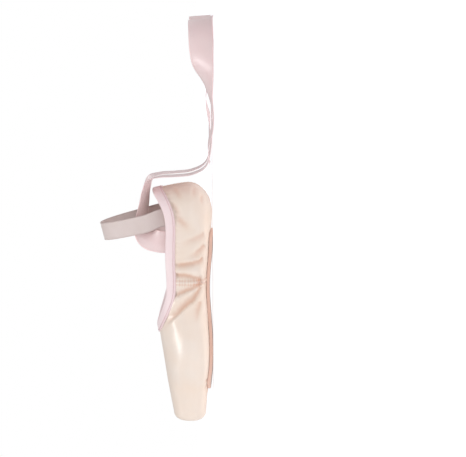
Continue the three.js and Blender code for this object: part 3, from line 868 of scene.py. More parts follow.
class Tint(Enum):
    """Screen colours of the shoe's cloths, leather and threads. The deep colours are painted shade in folds
    and between threads, and also the tone of the darker seams, hems and the insole's patches.
    """

    SATIN = colour(244, 225, 209)
    SATIN_COOL = colour(243, 231, 221)
    # Painted shade colour of the satin's folds, seam ditches and pleats.
    SATIN_SHADE = colour(212, 158, 128)
    BINDING = colour(249, 231, 231)
    BINDING_SECOND = colour(245, 223, 225)
    # Painted shade colour of the tape's stitch groove, its lower edge and the gaps between its threads.
    BINDING_SHADE = colour(208, 160, 164)
    LINING = colour(240, 231, 221)
    LINING_SECOND = colour(233, 222, 210)
    LINING_DEEP = colour(184, 168, 148)
    BOARD = colour(220, 204, 184)
    BOARD_SECOND = colour(206, 188, 168)
    BOARD_DEEP = colour(160, 140, 120)
    ELASTIC = colour(228, 214, 210)
    ELASTIC_SECOND = colour(222, 206, 200)
    ELASTIC_DEEP = colour(180, 158, 152)
    RIBBON = colour(253, 232, 230)
    RIBBON_SECOND = colour(251, 224, 224)
    RIBBON_DEEP = colour(240, 196, 196)
    THREAD = colour(234, 205, 205)
    THREAD_SECOND = colour(226, 190, 190)
    SUEDE = colour(186, 165, 152)
    SUEDE_SECOND = colour(160, 134, 120)
    SUEDE_DARK = colour(104, 74, 60)
    SUEDE_EDGE = colour(244, 208, 192)
    FLOOR = colour(213, 213, 214)
    FLOOR_SECOND = colour(210, 211, 213)


SATIN = Cloth(
    name="satin",
    base=Tint.SATIN.value,
    second=Tint.SATIN_COOL.value,
    deep=Tint.SATIN_SHADE.value,
    threads=(1400.0, 5200.0),
    depth=0.000012,
    roughness=(0.36, 0.37),
    sheen=0.05,
    shine=0.9,
    streak=0.5,
    gap=0.0,
    broad=45.0,
    dimple=0.0004,
    # The crease mask paints shade into the satin's folds.
    crease="crease",
)
BINDING = Cloth(
    name="binding_tape",
    base=Tint.BINDING.value,
    second=Tint.BINDING_SECOND.value,
    deep=Tint.BINDING_SHADE.value,
    threads=(1300.0, 1300.0),
    depth=0.00005,
    roughness=(0.45, 0.6),
    gap=0.1,
    crease="crease",
)
LINING = Cloth(
    name="lining_canvas",
    base=Tint.LINING.value,
    second=Tint.LINING_SECOND.value,
    deep=Tint.LINING_DEEP.value,
    threads=(900.0, 900.0),
    depth=0.00012,
    roughness=(0.8, 0.92),
    gap=0.35,
    crease="crease",
)
BOARD = Cloth(
    name="insole_board",
    base=Tint.BOARD.value,
    second=Tint.BOARD_SECOND.value,
    deep=Tint.BOARD_DEEP.value,
    threads=(700.0, 700.0),
    depth=0.0001,
    roughness=(0.75, 0.9),
    gap=0.3,
    crease="crease",
)
ELASTIC = Cloth(
    name="elastic_webbing",
    base=Tint.ELASTIC.value,
    second=Tint.ELASTIC_SECOND.value,
    deep=Tint.ELASTIC_DEEP.value,
    threads=(520.0, 900.0),
    depth=0.00018,
    roughness=(0.55, 0.7),
    gap=0.3,
    crease="crease",
)
RIBBON = Cloth(
    name="sheer_ribbon",
    base=Tint.RIBBON.value,
    second=Tint.RIBBON_SECOND.value,
    deep=Tint.RIBBON_DEEP.value,
    threads=(1500.0, 1100.0),
    depth=0.00004,
    roughness=(0.3, 0.4),
    sheen=0.2,
    shine=0.8,
    gap=0.12,
    opacity=0.82,
    crease="crease",
)
THREAD = Cloth(
    name="sewing_thread",
    base=Tint.THREAD.value,
    second=Tint.THREAD_SECOND.value,
    deep=Tint.THREAD_SECOND.value,
    threads=(3000.0, 3000.0),
    depth=0.00003,
    roughness=(0.5, 0.62),
    gap=0.2,
)


@dataclass(frozen=True)
class Suede:
    """The outsole's split leather, brushed, with pressed grooves and a dyed edge."""

    name: str = "outsole_suede"
    nap: float = 0.00012

    def build(self, effects: Effects) -> bpy.types.Material:
        """Makes the material from the shared effects."""
        material, wire, shader = new_material(self.name)
        place = wire.node("ShaderNodeTexCoord").outputs
        mottle = wire.node("ShaderNodeGroup", node_tree=effects.mottle)
        mottle.inputs["Broad"].default_value = 55.0
        mottle.inputs["Fine"].default_value = 1500.0
        wire.tree.links.new(place["Object"], mottle.inputs["Vector"])
        groove = wire.node("ShaderNodeAttribute", attribute_name="groove").outputs["Fac"]
        edge = wire.node("ShaderNodeAttribute", attribute_name="edge").outputs["Fac"]
        tinted = wire.node("ShaderNodeGroup", node_tree=effects.tinted)
        tinted.inputs["Colour"].default_value = Tint.SUEDE.value
        tinted.inputs["Second"].default_value = Tint.SUEDE_SECOND.value
        tinted.inputs["Deep"].default_value = Tint.SUEDE_DARK.value
        flecks = wire.math("MULTIPLY", mottle.outputs["Fine"], 0.35)
        clouds = wire.math("MULTIPLY", mottle.outputs["Broad"], 0.55)
        wire.tree.links.new(wire.math("ADD", flecks, clouds), tinted.inputs["Variation"])
        wire.tree.links.new(groove, tinted.inputs["Crease"])
        dyed = wire.mix(edge, tinted.outputs[0], Tint.SUEDE_EDGE.value)
        wire.tree.links.new(dyed, shader.inputs["Base Color"])
        rough = wire.spread(mottle.outputs["Fine"], 0, 1, 0.78, 0.95)
        wire.tree.links.new(rough, shader.inputs["Roughness"])
        bump = wire.node("ShaderNodeBump", {"Height": mottle.outputs["Fine"]})
        bump.inputs["Strength"].default_value = 0.7
        bump.inputs["Distance"].default_value = self.nap
        wire.tree.links.new(bump.outputs[0], shader.inputs["Normal"])
        shader.inputs["Sheen Weight"].default_value = 0.25
        shader.inputs["Sheen Roughness"].default_value = 0.6
        return material


@dataclass(frozen=True)
class StudioFloor:
    """The plain pale floor."""

    name: str = "studio_floor"
    near_glow: float = 0.79
    far_glow: float = 1.16
    glow_reach: tuple[float, float] = (0.35, 1.1)

    def build(self, effects: Effects) -> bpy.types.Material:
        """Makes the material from the shared effects."""
        material, wire, shader = new_material(self.name)
        place = wire.node("ShaderNodeTexCoord").outputs
        mottle = wire.node("ShaderNodeGroup", node_tree=effects.mottle)
        mottle.inputs["Broad"].default_value = 2.0
        mottle.inputs["Fine"].default_value = 30.0
        wire.tree.links.new(place["Object"], mottle.inputs["Vector"])
        shade = wire.mix(mottle.outputs["Broad"], Tint.FLOOR.value, Tint.FLOOR_SECOND.value)
        wire.tree.links.new(shade, shader.inputs["Base Color"])
        wire.tree.links.new(shade, shader.inputs["Emission Color"])
        away = wire.node("ShaderNodeVectorMath", {0: place["Object"]}, operation="LENGTH").outputs["Value"]
        glow = wire.spread(away, *self.glow_reach, self.near_glow, self.far_glow)
        wire.tree.links.new(glow, shader.inputs["Emission Strength"])
        shader.inputs["Roughness"].default_value = 1.0
        shader.inputs["Specular IOR Level"].default_value = 0.0
        under = wire.node("ShaderNodeNewGeometry").outputs["Backfacing"]
        wire.tree.links.new(wire.math("SUBTRACT", 1.0, under), shader.inputs["Alpha"])
        return material


class Surfaces:
    """The last's uncut outside, and its inside, to measure from."""

    def __init__(self, last: Last) -> None:
        """Builds the grids that rays are cast against."""
        rows, columns = 230, 160
        positions = last.even_positions(rows, float(len(last.rows) - 1))
        starts = np.full(len(positions), math.pi / 2)
        self.grid, self.normals = skin(last, positions, starts, columns)
        self.walls = last.sections(positions)[:, WALL][:, None, None]
        self.faces = grid_faces(*self.grid.shape[:2])
        self.outside = self.tree(0.0, False)
        self.inside = self.tree(0.0, True)

    def moved(self, distance: float, from_inside: bool) -> np.ndarray:
        """The grid moved out from the outside, or in from the inside of the wall."""
        offset = -self.walls - distance if from_inside else distance
        return self.grid + self.normals * offset

    def tree(self, distance: float, from_inside: bool) -> BVHTree:
        """The moved grid as a tree for casting rays."""
        points = self.moved(distance, from_inside).reshape(-1, 3)
        return BVHTree.FromPolygons(points.tolist(), self.faces.tolist())


def cast(tree: BVHTree, origin: np.ndarray, direction: np.ndarray) -> np.ndarray:
    """The first point of a surface along a ray, or the origin where it misses.

    A ray that slips between two faces is moved aside a little and sent again.
    """
    for nudge in (0.0, 0.03, -0.03, 0.2, -0.2):
        hit = tree.ray_cast(Vector(origin) + Vector((nudge, nudge, 0.0)), Vector(direction))[0]
        if hit is not None:
            return np.array(hit)
    return np.array(origin)


def both_sides(folds: list[Fold], shift: float = 0.0) -> list[Fold]:
    """Mirrors folds to the shoe's other side, moved a little along it."""
    mirrored = [
        replace(fold, through=tuple((x + shift, -y, z) for x, y, z in fold.through), height=fold.height * 0.9)
        for fold in folds
    ]
    return folds + mirrored


@dataclass
class Upper:
    """The satin upper with its folds, seams and canvas lining."""

    rows: int = 300
    columns: int = 200
    lining_rows: int = 170
    lining_columns: int = 120
    seam_height: float = 0.55
    seam_width: float = 2.4
    pucker: float = 0.2
    # Strength of the painted shade laid in the troughs of the folds.
    fold_shade: float = 0.6
    pleat_middle: float = 176.0
    pleat_height: float = 0.4

    def folds(self) -> list[Fold]:
        """The folds that the shoe keeps from wear."""
        quarter = [
            Fold(
                ((92, 30, 4), (100, 34, 14), (111, 33, 28), (122, 28, 38), (133, 20, 46)),
                -1.9,
                2.7,
                (0.04, 0.5),
                0.4,
            ),
            Fold(((90, 29, 4), (95, 32, 15), (103, 32, 29), (113, 27, 42)), 0.8, 2.4, (0.08, 0.4), 0.1),
            Fold(((88, 29, 5), (92, 31, 16), (98, 31, 31), (105, 27, 42)), -1.2, 2.1, (0.06, 0.45), 0.35),
            Fold(((86, 29, 5), (84, 31, 12), (81, 31, 26), (80, 30, 40)), -1.25, 2.2, (0.05, 0.2), -0.3),
            Fold(((79, 29, 5), (77, 31, 14), (76, 31, 28), (76, 30, 40)), 0.6, 2.2, (0.1, 0.25), 0.1),
            Fold(((66, 29, 4), (69, 30, 14), (71, 30, 27), (72, 30, 39)), -1.15, 2.5, (0.05, 0.3), -0.35),
            Fold(((54, 28, 4), (57, 29, 9), (62, 30, 17), (66, 30, 27)), -0.85, 3.0, (0.05, 0.6), -0.3),
            Fold(((43, 26, 5), (46, 28, 12), (50, 29, 22), (54, 29, 32)), -0.6, 3.2, (0.1, 0.6), -0.3),
            Fold(((26, 28, 36), (33, 29, 28), (42, 29, 20)), -0.65, 3.2, (0.4, 0.5)),
            Fold(((13, 22, 42), (21, 26, 34), (31, 28, 30)), -0.55, 2.8, (0.4, 0.5)),
            Fold(((104, 33, 5), (113, 35, 11), (126, 36, 17)), -0.7, 2.6, (0.05, 0.6), 0.3),
            Fold(((116, 30, 41), (126, 30, 35), (138, 32, 28)), 0.45, 3.4, (0.4, 0.5)),
            Fold(((108, 27, 43), (113, 26, 45), (119, 23, 47)), -0.5, 1.8, (0.3, 0.5)),
        ]
        heel = [
            Fold(((9, 14, 9), (13, 19, 10), (20, 23, 8)), -0.5, 1.8, (0.3, 0.5)),
            Fold(((6, 9, 16), (9, 15, 18), (15, 21, 17)), -0.4, 2.0, (0.3, 0.5)),
            Fold(((4, 10, 34), (8, 17, 32), (16, 23, 27)), -0.4, 2.4, (0.3, 0.5)),
        ]
        return both_sides(quarter + heel, 1.5)

    def dents(self) -> list[Dent]:
        """Soft unevenness of the quarters and the box."""
        left = [
            Dent((24, 27, 30), -0.8, 8),
            Dent((38, 29, 18), -0.6, 7),
            Dent((46, 29, 33), 0.5, 8),
            Dent((62, 30, 30), 0.3, 6),
            Dent((150, 36, 24), 0.35, 16),
            Dent((182, 28, 22), -0.2, 10),
        ]
        right = []
        for dent in left:
            x, y, z = dent.middle
            right.append(replace(dent, middle=(x + 3, -y, z + 1)))
        return left + right

    def relief(
        self, points: np.ndarray, rim: np.ndarray, outsole_gap: np.ndarray
    ) -> tuple[np.ndarray, np.ndarray]:
        """Heights of the satin over the last, and its mask of painted shade in folds, ditches, gathers and
        pleats.

        Args:
            points: Points of the last.
            rim: Distance of each point under the collar's edge.
            outsole_gap: Distance of each point outside the outsole's outline in plan.

        Returns:
            Heights in millimetres and masks from 0 to 1.
        """
        x, y, z = points.T
        height, crease = fold_relief(points, self.folds())
        crease *= self.fold_shade
        height += dent_relief(points, self.dents())
        quarter = 1 - soft_step(128, 158, x)
        height += 0.1 * quarter * wander(points, 9.0, 3) + 0.05 * wander(points, 22.0, 5)
        under_binding = soft_step(6.0, 8.5, rim)
        low = soft_step(1.0, 4.0, z)
        side_seam = np.abs(x - SIDE_SEAM)
        seam = np.exp(-((side_seam / (self.seam_width / 2)) ** 4)) * under_binding
        seam *= soft_step(0.5, 3, outsole_gap)
        ditch = np.exp(-(((side_seam - self.seam_width * 0.75) / 0.6) ** 2)) * under_binding * low
        gather = np.sin(z * 2 * math.pi / 2.6 + 0.8 * np.sin(z * 0.9)) * np.exp(-((side_seam / 4.5) ** 2))
        height += self.seam_height * seam - 0.18 * ditch + self.pucker * gather * under_binding * low
        behind = (x < 44) * soft_step(0.3, 2.0, outsole_gap)
        back = np.abs(y)
        rear = np.exp(-((back / (self.seam_width / 2)) ** 4)) * behind * under_binding
        rear_ditch = np.exp(-(((back - self.seam_width * 0.75) / 0.6) ** 2)) * behind * under_binding
        rear_gather = np.sin(z * 2 * math.pi / 3.1) * np.exp(-((back / 4.5) ** 2)) * behind
        height += self.seam_height * rear - 0.18 * rear_ditch
        height += self.pucker * 0.7 * rear_gather * under_binding
        drawn = np.exp(-(((rim - 8) / 4.5) ** 2)) * soft_step(7.0, 9.0, rim)
        round_heel = np.arctan2(y, x - 45)
        height += 0.22 * drawn * np.sin(round_heel * 46 + 1.3 * np.sin(round_heel * 9)) * (x < 60)
        gathered = np.sin(x * 2 * math.pi / 5.2 + 0.9 * np.sin(x * 0.35))
        height += 0.12 * drawn * gathered * ((x >= 60) & (x < 128))
        tucked = np.exp(-((np.maximum(outsole_gap, 0) / 4.0) ** 2)) * (z < 14)
        tucks = np.sin(x * 2 * math.pi / 4.6 + np.sin(x * 0.5))
        height += 0.2 * tucked * tucks * (x < 150) * (outsole_gap > -1)
        beneath = z < 12
        height -= 0.25 * np.exp(-(((outsole_gap - 0.4) / 1.0) ** 2)) * beneath
        fan = np.arctan2(y, x - self.pleat_middle)
        pleats = np.sin(fan * 26 + 0.7 * np.sin(fan * 7))
        pleated = np.exp(-(((outsole_gap - 2.2) / 2.4) ** 2)) * (x > self.pleat_middle) * beneath
        height += self.pleat_height * pleated * pleats
        corner = np.exp(-(((back - 17) / 2.0) ** 2)) * soft_step(196, 204, x) * beneath * (x < 217)
        height += 0.25 * corner
        # Painted shade in the seam ditches, along the satin just outside the outsole's edge, and in the
        # troughs of the gathers and the toe's pleats.
        crease += 0.35 * (ditch + rear_ditch)
        crease += 0.4 * np.exp(-(((outsole_gap - 0.3) / 1.2) ** 2)) * beneath
        crease += 0.3 * np.clip(-gather, 0, 1) * under_binding * low * (side_seam < 4)
        crease += 0.25 * pleated * (pleats < -0.2)
        return height, np.clip(crease, 0, 1)

    def build(self, last: Last, outsole: "Outsole") -> bpy.types.Object:
        """Makes the satin outside.

        Args:
            last: The shoe's form.
            outsole: The outsole, whose outline the satin tucks under.

        Returns:
            The piece.
        """
        positions = last.even_positions(self.rows, last.back - 0.002)
        starts = last.collar_angle(positions)
        grid, normals = skin(last, positions, starts, self.columns)
        closed = positions <= last.throat
        flat = grid.reshape(-1, 3)
        rim = last.collar_height(flat[:, 0]) - flat[:, 2]
        rim = np.where(flat[:, 0] > last.collar_x[-1], 40.0, rim)
        edge = np.concatenate([grid[~closed, 0], grid[~closed, -1]])
        near = flat[:, 0] < last.collar_x[-1] + 14
        reach = np.full(len(flat), 40.0)
        for start in range(0, len(edge), 40):
            gap = np.linalg.norm(flat[near][:, None] - edge[None, start : start + 40], axis=2).min(axis=1)
            reach[near] = np.minimum(reach[near], gap)
        height, crease = self.relief(flat, reach, outsole.outside_gap(flat))
        height *= soft_step(-0.5, 3.0, reach) * 0.999
        moved = flat + normals.reshape(-1, 3) * height[:, None]
        moved[:, 2] = np.maximum(moved[:, 2], 0.15)
        uv = self.surface_coordinates(grid)
        faces = grid_faces(len(positions), self.columns)
        # The crease mask carries the painted shade of the folds, ditches and pleats.
        return make_piece("upper_satin", moved, faces, {"crease": crease}, uv, merge=0.02)

    def surface_coordinates(self, grid: np.ndarray) -> np.ndarray:
        """Coordinates in metres along and across the cloth."""
        along = np.zeros(grid.shape[:2])
        along[1:] = np.cumsum(np.linalg.norm(np.diff(grid, axis=0), axis=2).mean(axis=1))[:, None]
        across = np.zeros(grid.shape[:2])
        across[:, 1:] = np.cumsum(np.linalg.norm(np.diff(grid, axis=1), axis=2), axis=1)
        across -= across[:, -1:] / 2
        return np.column_stack([along.ravel(), across.ravel()]) * MM

    def build_lining(self, last: Last) -> bpy.types.Object:
        """Makes the canvas inside, up to the top of the wall."""
        positions = last.even_positions(self.lining_rows, last.back - 0.002)
        starts = last.collar_angle(positions)
        grid, normals = skin(last, positions, starts, self.lining_columns)
        wall = last.sections(positions)[:, WALL][:, None, None]
        inside = grid - normals * wall
        inside[:, :, 0] = np.minimum(inside[:, :, 0], inside[0, :, 0].mean())
        flat = inside.reshape(-1, 3)
        folded = 0.8 * fold_relief(grid.reshape(-1, 3), self.folds())[0]
        folded -= 0.06 * (wander(flat, 14.0, 11) + 1)
        flat = flat + normals.reshape(-1, 3) * folded[:, None]
        floor = SEAT_HEIGHT + 1.0
        flat[:, 2] = np.maximum(flat[:, 2], floor)
        seam_mask = 0.4 * np.exp(-(((flat[:, 0] - SIDE_SEAM) / 1.2) ** 2))
        uv = self.surface_coordinates(grid)
        faces = grid_faces(len(positions), self.lining_columns, flip=True)
        return make_piece("upper_lining", flat, faces, {"crease": seam_mask}, uv, merge=0.02)


@dataclass(frozen=True)
class Plan:
    """A sole layer's outline in plan: a table of half widths with two rounded ends."""

    table: tuple[tuple[float, float], ...]
    full: float
    toe_end: float
    toe_round: float
    toe_power: float
    heel_end: float
    heel_round: float
    heel_power: float

    def half_width(self, x: np.ndarray) -> np.ndarray:
        """Half width of the outline at distances from the heel, 0 past its ends."""
        rows = np.array(self.table, dtype=float)
        inner = np.clip(x, self.heel_end + self.heel_round, self.toe_end - self.toe_round)
        half = smooth_values(SHOE_LENGTH * rows[:, 0], self.full * rows[:, 1:], inner)[:, 0]
        toe = np.clip((x - self.toe_end + self.toe_round) / self.toe_round, 0, 1)
        heel = np.clip((self.heel_end + self.heel_round - x) / self.heel_round, 0, 1)
        taper = (1 - toe**self.toe_power) ** (1 / self.toe_power)
        return half * taper * (1 - heel**self.heel_power) ** (1 / self.heel_power)

    def outline(self, count: int) -> np.ndarray:
        """Evenly spaced points round the outline, from the toe down the left side and back."""
        turn = np.linspace(0, math.pi, 4000)
        x = (self.toe_end + self.heel_end) / 2 + (self.toe_end - self.heel_end) / 2 * np.cos(turn)
        left = np.column_stack([x, self.half_width(x)])
        whole = np.vstack([left, (left * [1, -1])[::-1][1:]])
        travel = np.concatenate([[0], np.cumsum(np.linalg.norm(np.diff(whole, axis=0), axis=1))])
        places = np.linspace(0, travel[-1], count, endpoint=False)
        return np.column_stack([np.interp(places, travel, whole[:, axis]) for axis in range(2)])


@dataclass
class Outsole:
    """The short leather outsole with pressed grooves and a plain oval left between them."""

    thickness: float = 2.6
    grooves: tuple[float, float] = (121.0, 190.0)
    pitch: float = 2.72
    groove_depth: float = 0.42
    oval_middle: float = 160.5
    oval_half: tuple[float, float] = (15.5, 5.9)
    channel_inset: float = 3.1
    rings: int = 40
    points_round: int = 1150
    plan: Plan = field(
        default_factory=lambda: Plan(OUTSOLE, 23.0, 193.0, 17.0, 2.2, 43.0, 8.0, 3.0),
    )

    def outside_gap(self, points: np.ndarray) -> np.ndarray:
        """Distance outside the outline in plan, negative inside, for points under the shoe."""
        outline = self.plan.outline(420)
        gap = np.full(len(points), 60.0)
        low = np.flatnonzero(points[:, 2] < 26)
        for start in range(0, len(outline), 60):
            offset = points[low][:, None, :2] - outline[None, start : start + 60]
            gap[low] = np.minimum(gap[low], np.linalg.norm(offset, axis=2).min(axis=1))
        inside = np.abs(points[:, 1]) < self.plan.half_width(points[:, 0])
        return np.where(inside & (points[:, 2] < 26), -gap, gap)

    def tread(self, x: np.ndarray, y: np.ndarray, inset: np.ndarray) -> tuple[np.ndarray, np.ndarray]:
        """Depth of the grooves and the stitch channel.

        Args:
            x: Distance from the heel.
            y: Distance to the left.
            inset: Distance inside the outline.

        Returns:
            Depths in millimetres, and a mask of the dark grooves.
        """
        bowed = x + 0.0035 * y**2 - 0.9
        wave = 0.5 + 0.5 * np.cos(2 * math.pi * (bowed - self.grooves[0]) / self.pitch)
        line = soft_step(0.6, 0.94, wave)
        zone = soft_step(self.grooves[0] - 1.2, self.grooves[0] - 0.6, bowed)
        zone *= 1 - soft_step(self.grooves[1] - 0.5, self.grooves[1] + 0.8, bowed)
        zone *= soft_step(self.channel_inset + 0.5, self.channel_inset + 1.4, inset)
        half_length, half_width = self.oval_half
        beyond = np.maximum(np.abs(x - self.oval_middle) - (half_length - half_width), 0)
        round_gap = np.hypot(beyond, y) - half_width
        zone *= soft_step(0.0, 0.6, round_gap)
        rim = np.exp(-((round_gap / 0.35) ** 2)) * 0.45
        groove = line * zone
        channel = np.exp(-(((inset - self.channel_inset) / 0.42) ** 2))
        depth = self.groove_depth * groove + 0.16 * rim + 0.3 * channel
        return depth, np.clip(0.85 * groove + 0.5 * rim + 0.55 * channel, 0, 1)

    def build(self, surfaces: Surfaces) -> bpy.types.Object:
        """Makes the outsole under the last.

        Args:
            surfaces: The last's surfaces, to hang the sole from.

        Returns:
            The piece.
        """
        outline = self.plan.outline(self.points_round)
        spine_low, spine_high = self.plan.heel_end + 11, self.plan.toe_end - 17
        spine = np.column_stack([np.clip(outline[:, 0], spine_low, spine_high), np.zeros(len(outline))])
        depth_in = np.linalg.norm(outline - spine, axis=1)
        insets = np.concatenate([[0.0, 0.0, 0.12, 0.4, 0.9, 1.6, 2.3], np.linspace(2.7, 3.6, 6), [4.1, 4.6]])
        rest = np.linspace(0, 1, self.rings - len(insets) + 1)[1:]
        rings = []
        for inset in insets:
            share = np.minimum(inset / depth_in, 0.9)[:, None]
            rings.append(outline + (spine - outline) * share)
        last_ring = rings[-1]
        rings += [last_ring + (spine - last_ring) * share for share in rest]
        plan = np.array(rings)
        flat = plan.reshape(-1, 2)
        sole_top = np.empty(len(flat))
        drop = np.empty(len(flat))
        up = Vector((0, 0, 1))
        for number, (x, y) in enumerate(flat):
            point, normal, _, _ = surfaces.outside.ray_cast(Vector((x, y, -40.0)), up)
            sole_top[number] = point[2] if point is not None else SEAT_HEIGHT
            drop[number] = 1 / max(abs(normal[2]), 0.75) if point is not None else 1.0
        sole_top = sole_top.reshape(plan.shape[:2])
        drop = drop.reshape(plan.shape[:2])
        inset = np.linalg.norm(plan - outline[None], axis=2)
        rounding = 0.9 - np.sqrt(np.maximum(0.81 - np.maximum(0.9 - inset, 0) ** 2, 0))
        bottom = sole_top - (CLEARANCE + self.thickness) * drop
        bottom = np.maximum(bottom, 0.02) + rounding
        grooves, dark = self.tread(plan[..., 0], plan[..., 1], inset)
        height = bottom + grooves
        height[0] = sole_top[0] - 0.12
        height[1] = bottom[0]
        edge = np.zeros(plan.shape[:2])
        edge[0] = edge[1] = edge[2] = 1.0
        edge[3] = 0.8
        edge[4] = 0.25
        points = np.column_stack([flat, height.ravel()])
        masks = {"groove": dark.ravel(), "edge": edge.ravel()}
        faces = loop_faces(len(plan), self.points_round)[:, ::-1]
        return make_piece("outsole_leather", points, faces, masks, merge=0.01)


@dataclass
class Insole:
    """The cloth-covered board inside."""

    thickness: float = 2.0
    rings: int = 26
    points_round: int = 420
    plan: Plan = field(
        default_factory=lambda: Plan(INSOLE, 38.0, 212.0, 9.0, 3.0, 9.0, 20.0, 2.2),
    )

    def build(self, surfaces: Surfaces) -> bpy.types.Object:
        """Makes the insole on the upper's inside."""
        outline = self.plan.outline(self.points_round)
        spine = np.column_stack([np.clip(outline[:, 0], 28, 196), np.zeros(len(outline))])
        shares = np.concatenate([[0, 0, 0.02, 0.05, 0.09], np.linspace(0.14, 1, self.rings - 5)])
        plan = np.array([outline + (spine - outline) * share for share in shares])
        seat = surfaces.tree(CLEARANCE, True)
        top = np.empty(plan.shape[:2])
        for index in np.ndindex(top.shape):
            x, y = plan[index]
            hit = seat.ray_cast(Vector((x, y, -40.0)), Vector((0, 0, 1)))[0]
            top[index] = hit[2] if hit is not None else 6.0
        inset = np.linalg.norm(plan - outline[None], axis=2)
        rounding = 0.7 - np.sqrt(np.maximum(0.49 - np.maximum(0.7 - inset, 0) ** 2, 0))
        seam = np.exp(-(((inset - 3.5) / 0.5) ** 2))
        height = top + self.thickness - rounding - 0.15 * seam
        height[0] = top[0]
        flat = plan.reshape(-1, 2)
        points = np.column_stack([flat, height.ravel()])
        points[:, 2] += 0.06 * wander(points, 12.0, 21)
        mask = np.clip(0.5 * seam.ravel() + 0.25 * (1 + wander(points, 18.0, 23)) / 2, 0, 1)
        faces = loop_faces(len(plan), self.points_round)
        return make_piece("insole_board", points, faces, {"crease": mask}, flat * MM, merge=0.01)


@dataclass
class CollarBinding:
    """The bias tape that wraps the collar's edge, with its row of stitches."""

    stations: int = 360
    width: float = 8.0
    thickness: float = 1.1
    lift: float = 0.45
    stitch_depth: float = 6.3
    ray_start: float = 8.0

    def loop(self, last: Last) -> tuple[np.ndarray, np.ndarray, np.ndarray]:
        """Points of the collar's edge, with the outward direction and the way down the wall."""
        half = self.stations // 2
        turn = np.arange(half + 1) / half
        position = last.throat + (last.back - last.throat) * (1 - np.cos(math.pi * turn)) / 2
        angle = last.collar_angle(position)
        angle[0] = math.pi / 2
        point = last.points(position, angle)
        small = 0.02
        along = last.points(position + small, angle) - last.points(position - small, angle)
        over = last.points(position, angle + small) - last.points(position, angle - small)
        outward = unit(np.cross(along, over))
        mirror = np.array([1, -1, 1])
        points = np.vstack([point, (point[1:-1] * mirror)[::-1]])
        outwards = np.vstack([outward, (outward[1:-1] * mirror)[::-1]])
        ahead = np.roll(points, -1, axis=0) - np.roll(points, 1, axis=0)
        down = unit(np.cross(ahead, outwards))
        return self.evened(points, outwards, down)

    def evened(self, points: np.ndarray, outward: np.ndarray, down: np.ndarray) -> tuple[np.ndarray, ...]:
        """Spaces the stations evenly round the edge."""
        closed = np.vstack([points, points[:1]])
        travel = np.concatenate([[0], np.cumsum(np.linalg.norm(np.diff(closed, axis=0), axis=1))])
        places = np.linspace(0, travel[-1], self.stations, endpoint=False)
        spaced = []
        for values in (points, outward, down):
            whole = np.vstack([values, values[:1]])
            spaced.append(np.column_stack([np.interp(places, travel, whole[:, axis]) for axis in range(3)]))
        return spaced[0], unit(spaced[1]), unit(spaced[2])

    def wall_points(
        self, surfaces: Surfaces, loop: tuple[np.ndarray, ...], depth: float
    ) -> tuple[np.ndarray, np.ndarray]:
        """Points of the wall's outside and inside at some depth under the edge."""
        outside, inside = [], []
        for point, outward, down in zip(*loop):
            start = point + down * depth
            outside.append(cast(surfaces.outside, start + outward * self.ray_start, -outward))
            inside.append(cast(surfaces.inside, start - outward * self.ray_start, outward))
        return np.array(outside), np.array(inside)

    def build(self, last: Last, surfaces: Surfaces) -> tuple[bpy.types.Object, bpy.types.Object]:
        """Makes the tape and its stitches.

        Args:
            last: The shoe's form.
            surfaces: The wall's two surfaces.

        Returns:
            The tape and the stitches.
        """
        loop = self.loop(last)
        outward, down = loop[1], loop[2]
        full = self.lift + self.thickness * 0.72
        profile = ((self.width, 0.1), (self.width, 0.75), (7.6, full - 0.05), (6.9, full - 0.12))
        profile += ((self.stitch_depth, full - 0.22),)
        profile += ((5.6, full - 0.05), (4.0, full + 0.05), (2.2, full + 0.08), (0.8, full + 0.02))
        depths = {depth for depth, _ in profile} | {0.0}
        walls = {depth: self.wall_points(surfaces, loop, depth) for depth in depths}
        travel = np.linspace(0, 1, self.stations, endpoint=False) * 2 * math.pi
        gather = np.sin(travel * 61 + 1.1 * np.sin(travel * 17)) * 0.09
        rings = []
        creases = []
        for depth, lift in profile:
            swell = lift + (gather if lift > 0.5 else 0) * (depth / self.width)
            rings.append(walls[depth][0] + outward * np.reshape(swell, (-1, 1)))
            # Painted shade along the stitch groove and along the tape's lower edge, where it meets the satin.
            creases.append(0.55 if depth == self.stitch_depth else 0.25 if depth > 7.5 else 0.0)
        outside, inside = walls[0.0]
        middle = (outside + inside) / 2
        reach = np.linalg.norm(outside - inside, axis=1)[:, None] / 2 + full
        for step in range(1, 12):
            turn = math.pi * step / 12
            rings.append(middle + outward * reach * math.cos(turn) - down * (full + 0.1) * math.sin(turn))
            creases.append(0.0)
        for depth, lift in reversed(profile):
            rings.append(walls[depth][1] - outward * lift)
            # Painted shade along the stitch groove on the inside.
            creases.append(0.4 if depth == self.stitch_depth else 0.0)
        grid = np.array(rings)
        length = np.cumsum(np.linalg.norm(np.diff(loop[0], axis=0, append=loop[0][:1]), axis=1))
        across = np.arange(len(rings))[:, None] * 0.9 * np.ones((1, self.stations))
        uv = np.column_stack([np.tile(length, len(rings)), across.ravel()]) * MM
        crease = np.repeat(creases, self.stations)
        faces = loop_faces(len(rings), self.stations)[:, ::-1]
        tape = make_piece("collar_binding_tape", grid.reshape(-1, 3), faces, {"crease": crease}, uv)
        line = walls[self.stitch_depth][0] + outward * (full - 0.2)
        stitches = stitch_row("collar_stitches", [line], [outward], 2.7, 1.9, 0.2, closed=True)
        return tape, stitches


